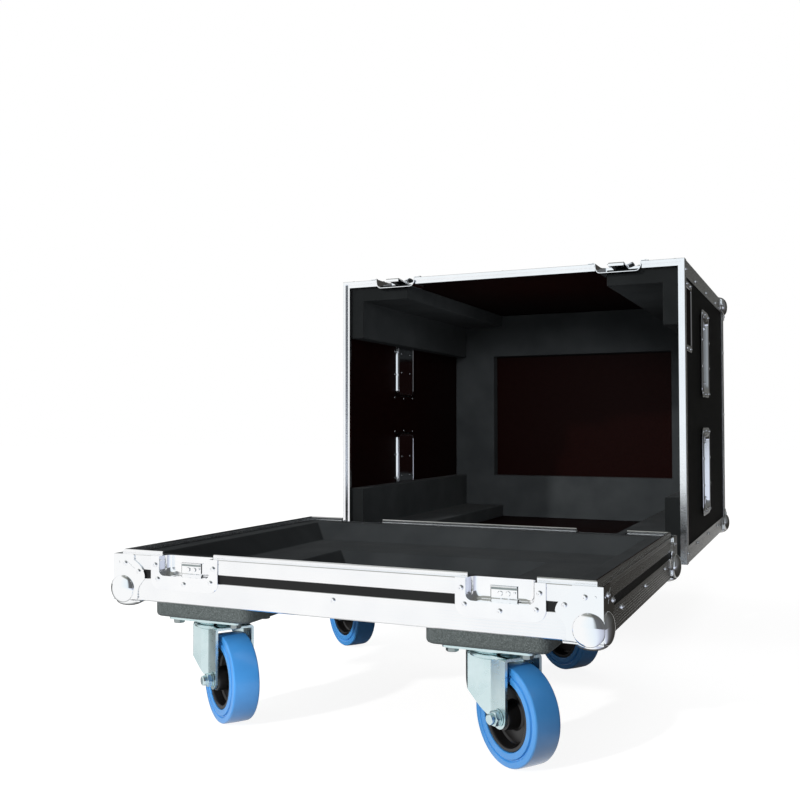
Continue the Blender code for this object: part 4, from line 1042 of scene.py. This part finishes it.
def fork_leg(side, trail, drop):
    """One pressed leg: flat at the wheel's back, flared past a bend line, then rounded."""
    plan = [(trail + 0.0112, 0.0228), (trail + 0.009, 0.0228), (trail - 0.0125, 0.0228),
            (trail - 0.0140, 0.0231), (trail - 0.024, 0.0278), (-0.006, 0.0312)]
    plan += arc((0, 0), 0.0335, 106, 146, 10)
    rail = []
    for (x1, y1), (x2, y2) in zip(plan, plan[1:]):
        steps = max(1, round(math.hypot(x2 - x1, y2 - y1) / 0.0008))
        rail += [(x1 + (x2 - x1) * step / steps, y1 + (y2 - y1) * step / steps)
                 for step in range(steps)]
    rail.append(plan[-1])
    front = rail[-1][0]
    boss = 0.0112
    neck = -0.0088
    short = 0.0195

    def foot(x):
        """How far the leg reaches down: round the axle, then up towards the front."""
        across = x - trail
        if across > neck:
            return drop + math.sqrt(max(boss ** 2 - across ** 2, 0.0))
        share = (x - front) / (trail + neck - front)
        return short + (drop + 0.0069 - short) * share ** 0.7

    crown = 0.0083
    bend = ((0.0065, 0.0), (0.0030, 0.0), (0.0014, 0.0005), (0.0004, 0.0015), (0.0, 0.0032))
    rows = [[(x, side * (y - inward), -crown - down) for x, y in rail] for inward, down in bend]
    top = -crown - bend[-1][1]
    steps = 12
    for index in range(1, steps + 1):
        rows.append([(x, side * y, top + (-foot(x) - top) * index / steps) for x, y in rail])
    sheet = loft(rows, closed=False)
    if sheet.polygons[len(sheet.polygons) // 2].normal.y * side < 0:
        sheet.flip_normals()
    return bevelled(thickened(sheet, 0.0029), 0.0005, 2, 50)


def fork(trail, drop):
    """The two legs, the crown plate and the ball race's bowl, about the swivel's foot."""
    legs = [fork_leg(side, trail, drop) for side in (-1, 1)]
    outline = [(trail + 0.0110, -0.0200), (trail + 0.0110, 0.0200), (0.004, 0.0275)]
    outline += arc((0, 0), 0.0300, 95, 257, 18) + [(0.004, -0.0275)]
    crown = bevelled(prism(outline, "z", -0.0113, -0.0083), 0.0006, 2, 50)
    bowl = turned([(0.0066, -0.0086), (0.0310, -0.0086), (0.0318, -0.0096), (0.0318, -0.0118),
                   (0.0295, -0.0132), (0.0200, -0.0132), (0.0180, -0.0118), (0.0066, -0.0118)], 64)
    return joined(legs + [crown, bowl])


def hexagon(flat, low, high, axis):
    """A nut or a bolt head: six flats with the corners turned off."""
    radius = flat / math.sqrt(3)
    body = prism(arc((0, 0), radius, 0, 300, 5), axis, low, high)
    inner = flat / 2 * 0.96
    outer = radius + 0.0001
    ends = turned([(0, low), (inner, low), (outer, low + 0.0009), (outer, high - 0.0009),
                   (inner, high), (0, high)], 36, axis)
    return cut(body, [ends], "INTERSECT")


def castor_plate():
    """The top plate with its ball race, and the king pin's nut and end."""
    plate = bevelled(prism(rounded(0.048, 0.040, 0.006, 5), "z", -0.0030, -0.0003), 0.0006, 2, 50)
    race = turned([(0, -0.0028), (0.0330, -0.0028), (0.0338, -0.0038), (0.0338, -0.0050),
                   (0.0325, -0.0062), (0.0300, -0.0068), (0.0296, -0.0079), (0.0066, -0.0079),
                   (0.0060, -0.0116), (0, -0.0116)], 64)
    nut = hexagon(0.0165, -0.0156, -0.0116, "z")
    stub = turned([(0, -0.0115), (0.0052, -0.0115), (0.0052, -0.0163), (0.0046, -0.0169),
                   (0, -0.0169)], 24)
    return joined([plate, race, nut, stub])


def plate_bolts():
    bolt = moved(hexagon(0.0118, -0.0080, -0.0029, "z"), turn(12, "Z"))
    return joined(set_on(bolt, [(x, y, 0) for x in (-0.039, 0.039) for y in (-0.030, 0.030)],
                         (0, 0, 1)))


def axle():
    """The axle bolt with its head and washer, and on the other side its nut."""
    head = hexagon(0.0135, 0.0243, 0.0292, "y")
    nut = hexagon(0.0135, -0.0300, -0.0243, "y")
    washers = [turned([(0, low), (0.0085, low), (0.0085, low + 0.0011), (0, low + 0.0011)], 32,
                      "y") for low in (0.0232, -0.0243)]
    shank = turned([(0, -0.0350), (0.0042, -0.0350), (0.0052, -0.0342), (0.0056, -0.0320),
                    (0.0056, 0.0250), (0, 0.0250)], 32, "y")
    return joined([head, nut, shank] + washers)


def riser():
    """Moulded block with round corners and an eased lower edge."""
    rows = ((0.0, -0.0002), (0.0, -0.0125), (0.0004, -0.0142), (0.0014, -0.0157),
            (0.0030, -0.0166), (0.0050, -0.0170))
    return loft([rounded_at(height, 0.065 - inset, 0.046 - inset, 0.012 - inset * 0.8, 8)
                 for inset, height in rows], True, True)


def add_castors():
    for place, (swivel, trail, drop) in castor_frames().items():
        spin = swivel @ at(trail, 0, -drop)
        flat = at(*swivel.translation)
        on_fork = f"fork_{place}"
        on_wheel = f"wheel_{place}"
        piece(f"riser_block_{place}", riser(), "riser", "tray", at(0, 0, 0.017) @ flat,
              (f"riser_{place}",))
        piece(f"castor_top_{place}", castor_plate(), "zinc", "tray", flat,
              (f"castor_plate_{place}",))
        piece(f"castor_plate_bolts_{place}", plate_bolts(), "steel", "tray", flat)
        piece(f"castor_fork_{place}_dressed", fork(trail, drop), "zinc", on_fork, swivel,
              (f"castor_fork_{place}",), smooth=40)
        piece(f"castor_bolt_{place}", axle(), "zinc", on_fork, spin, (f"castor_axle_{place}",))
        piece(f"castor_hub_{place}", core(), "nylon", on_wheel, spin, (f"castor_core_{place}",))
        piece(f"castor_tread_{place}", tyre(), "rubber", on_wheel, spin,
              (f"castor_tyre_{place}",), smooth=30)


# Camera, light and floor

def set_stage():
    bpy.context.scene.view_settings.view_transform = "Standard"
    camera = bpy.data.objects.new("camera", bpy.data.cameras.new("camera"))
    bpy.context.scene.collection.objects.link(camera)
    camera.data.lens = 42.37
    camera.data.sensor_width = 36
    camera.location = (0.4816, EDGE_LOW.y - 0.8758, JOINT_Z + 0.1493)
    camera.rotation_euler = (math.radians(91.593), math.radians(0.06), math.radians(24.545))
    camera.data.clip_start = 0.02
    bpy.context.scene.camera = camera

    floor = bpy.data.objects.new("floor", block((-12, -12, -0.02), (12, 12, -0.0005)))
    bpy.context.scene.collection.objects.link(floor)
    floor.data.materials.append(floor_finish())

    lamp("key", "SUN", 2.6, (1.0, 0.985, 0.96), (0, 0, 0), (0.22, 0.53, -0.213),
         angle=math.radians(2.5))
    lamp("fill", "AREA", 14, (0.93, 0.97, 1.0), (-1.6, -1.2, 1.6), (0, -0.1, 0.2), size=1.6)
    lamp("box", "SPOT", 230, (1, 1, 1), (0.36, -2.2, 0.86), (-0.02, 0.35, 0.37),
         spot_size=math.radians(19), spot_blend=0.25, shadow_soft_size=0.25)
    lamp("inside", "POINT", 1.7, (0.97, 0.99, 1.0), (0.02, 0.13, 0.40), shadow_soft_size=0.14)
    lamp("wheel", "SPOT", 62, (0.95, 0.98, 1.0), (0.75, -1.55, 0.14),
         (-0.20, EDGE_LOW.y + 0.06, 0.045), spot_size=math.radians(9), spot_blend=0.5,
         shadow_soft_size=0.1)
    lamp("top", "AREA", 4, (1, 1, 1), (0.2, 0.1, 2.2), (0, 0, 0.2), size=1.8)


def lamp(name, kind, strength, colour, place, target=(0, 0, 0), **settings):
    """A lamp that metal doesn't mirror, turned to its target."""
    made = bpy.data.objects.new(name, bpy.data.lights.new(name, kind))
    bpy.context.scene.collection.objects.link(made)
    made.data.energy = strength
    made.data.color = colour
    for setting, value in settings.items():
        setattr(made.data, setting, value)
    made.visible_glossy = False
    made.location = place
    travel = Vector(target) - Vector(place)
    made.rotation_euler = travel.to_track_quat("-Z", "Y").to_euler()


# What metal sees, by azimuth: -180 is the front, -90 the left, 0 the back and 90 the right
AROUND = ((-180, (0.88, 0.95, 1.0)), (-160, (0.94, 0.98, 1.0)), (-142, (1.0, 1.0, 1.0)),
          (-78, (1.0, 1.0, 1.0)), (-62, (0.50, 0.52, 0.52)), (-42, (0.20, 0.21, 0.21)),
          (-12, (0.17, 0.18, 0.175)), (4, (0.22, 0.225, 0.22)), (7, (0.09, 0.09, 0.085)),
          (9.5, (0.036, 0.034, 0.030)), (40, (0.06, 0.06, 0.057)), (84, (0.14, 0.143, 0.147)),
          (125, (0.12, 0.124, 0.13)), (158, (0.14, 0.15, 0.16)), (172, (0.82, 0.90, 0.96)),
          (180, (0.88, 0.95, 1.0)))
ABOVE = ((-180, (0.24, 0.25, 0.23)), (-100, (0.36, 0.37, 0.35)), (-30, (0.19, 0.20, 0.19)),
         (60, (0.12, 0.12, 0.115)), (150, (0.13, 0.135, 0.13)), (180, (0.24, 0.25, 0.23)))
BELOW = ((-180, (0.90, 0.96, 1.0)), (-150, (1.0, 1.0, 1.0)), (-97, (1.0, 1.0, 1.0)),
         (-90, (0.35, 0.36, 0.36)), (-82, (0.05, 0.05, 0.05)), (-12, (0.08, 0.08, 0.08)),
         (2, (0.48, 0.48, 0.47)), (5, (0.13, 0.13, 0.125)), (7.5, (0.028, 0.026, 0.023)),
         (40, (0.05, 0.048, 0.045)), (76, (0.14, 0.14, 0.15)), (88, (0.28, 0.29, 0.33)),
         (104, (0.46, 0.48, 0.58)), (145, (0.63, 0.67, 0.80)), (166, (0.84, 0.91, 1.0)),
         (180, (0.90, 0.96, 1.0)))


def studio_colour(graph, place, colours):
    """The studio's colour in the direction of a vector, from a table of azimuths."""
    parts = graph.parts(place)
    azimuth = graph.math("ARCTAN2", parts["X"], parts["Y"])
    ramp = graph.node("ValToRGB", {"Fac": graph.spread(azimuth, -math.pi, math.pi)}, "Color")
    stops = ramp.node.color_ramp.elements
    while len(stops) < len(colours):
        stops.new(0.5)
    for stop, (angle, colour) in zip(stops, colours):
        stop.position = 0.5 + angle / 360
        stop.color = (*colour, 1)
    return ramp


def floor_finish():
    """White to the camera with a faint shadow, the studio's colours in metal, else plain."""
    made = bpy.data.materials.new("floor")
    graph = Graph(made)
    graph.tree.nodes.remove(graph.tree.nodes["Principled BSDF"])
    plain, shaded = [graph.node("BsdfDiffuse", {"Color": (shade, shade, shade, 1)})
                     for shade in (0.35, 0.25)]
    lit = graph.node("AddShader", {0: graph.node("Emission", {"Strength": 0.9}), 1: shaded})
    away = graph.node("VectorMath", {0: graph.node("TexCoord", output="Object"),
                                     1: (0.30, EDGE_LOW.y + 0.05, 0)}, operation="SUBTRACT")
    around = graph.node("Emission", {"Color": studio_colour(graph, away, BELOW)})
    graph.show(plain, around, lit, "Material Output")
    return made


def set_world():
    """White to the camera, the studio's colours in metal, and a soft grey light elsewhere."""
    world = bpy.data.worlds.new("studio")
    bpy.context.scene.world = world
    graph = Graph(world)
    white = (1, 1, 1, 1)
    place = graph.node("TexCoord", output="Generated")
    lean = graph.node("VectorMath", {0: place, 1: (0.93, 0.20, -0.31)}, "Value",
                      operation="DOT_PRODUCT")
    level = graph.spread(lean, -1, 1, 0.72, 0.04)
    lift = graph.spread(graph.parts(place)["Z"], 0.70, 0.84)
    studio = graph.blended(lift, studio_colour(graph, place, AROUND),
                           studio_colour(graph, place, ABOVE))
    graph.show(graph.node("Background", {"Color": white, "Strength": level}),
               graph.node("Background", {"Color": studio}),
               graph.node("Background", {"Color": white}), "World Output")


set_stage()
set_world()
finish_nodes()
add_foam()
add_extrusions()
add_strips()
add_catches()
add_latch_dishes()
add_latch_parts()
add_handles()
add_label_dish()
add_corners()
add_castors()
add_rivets()
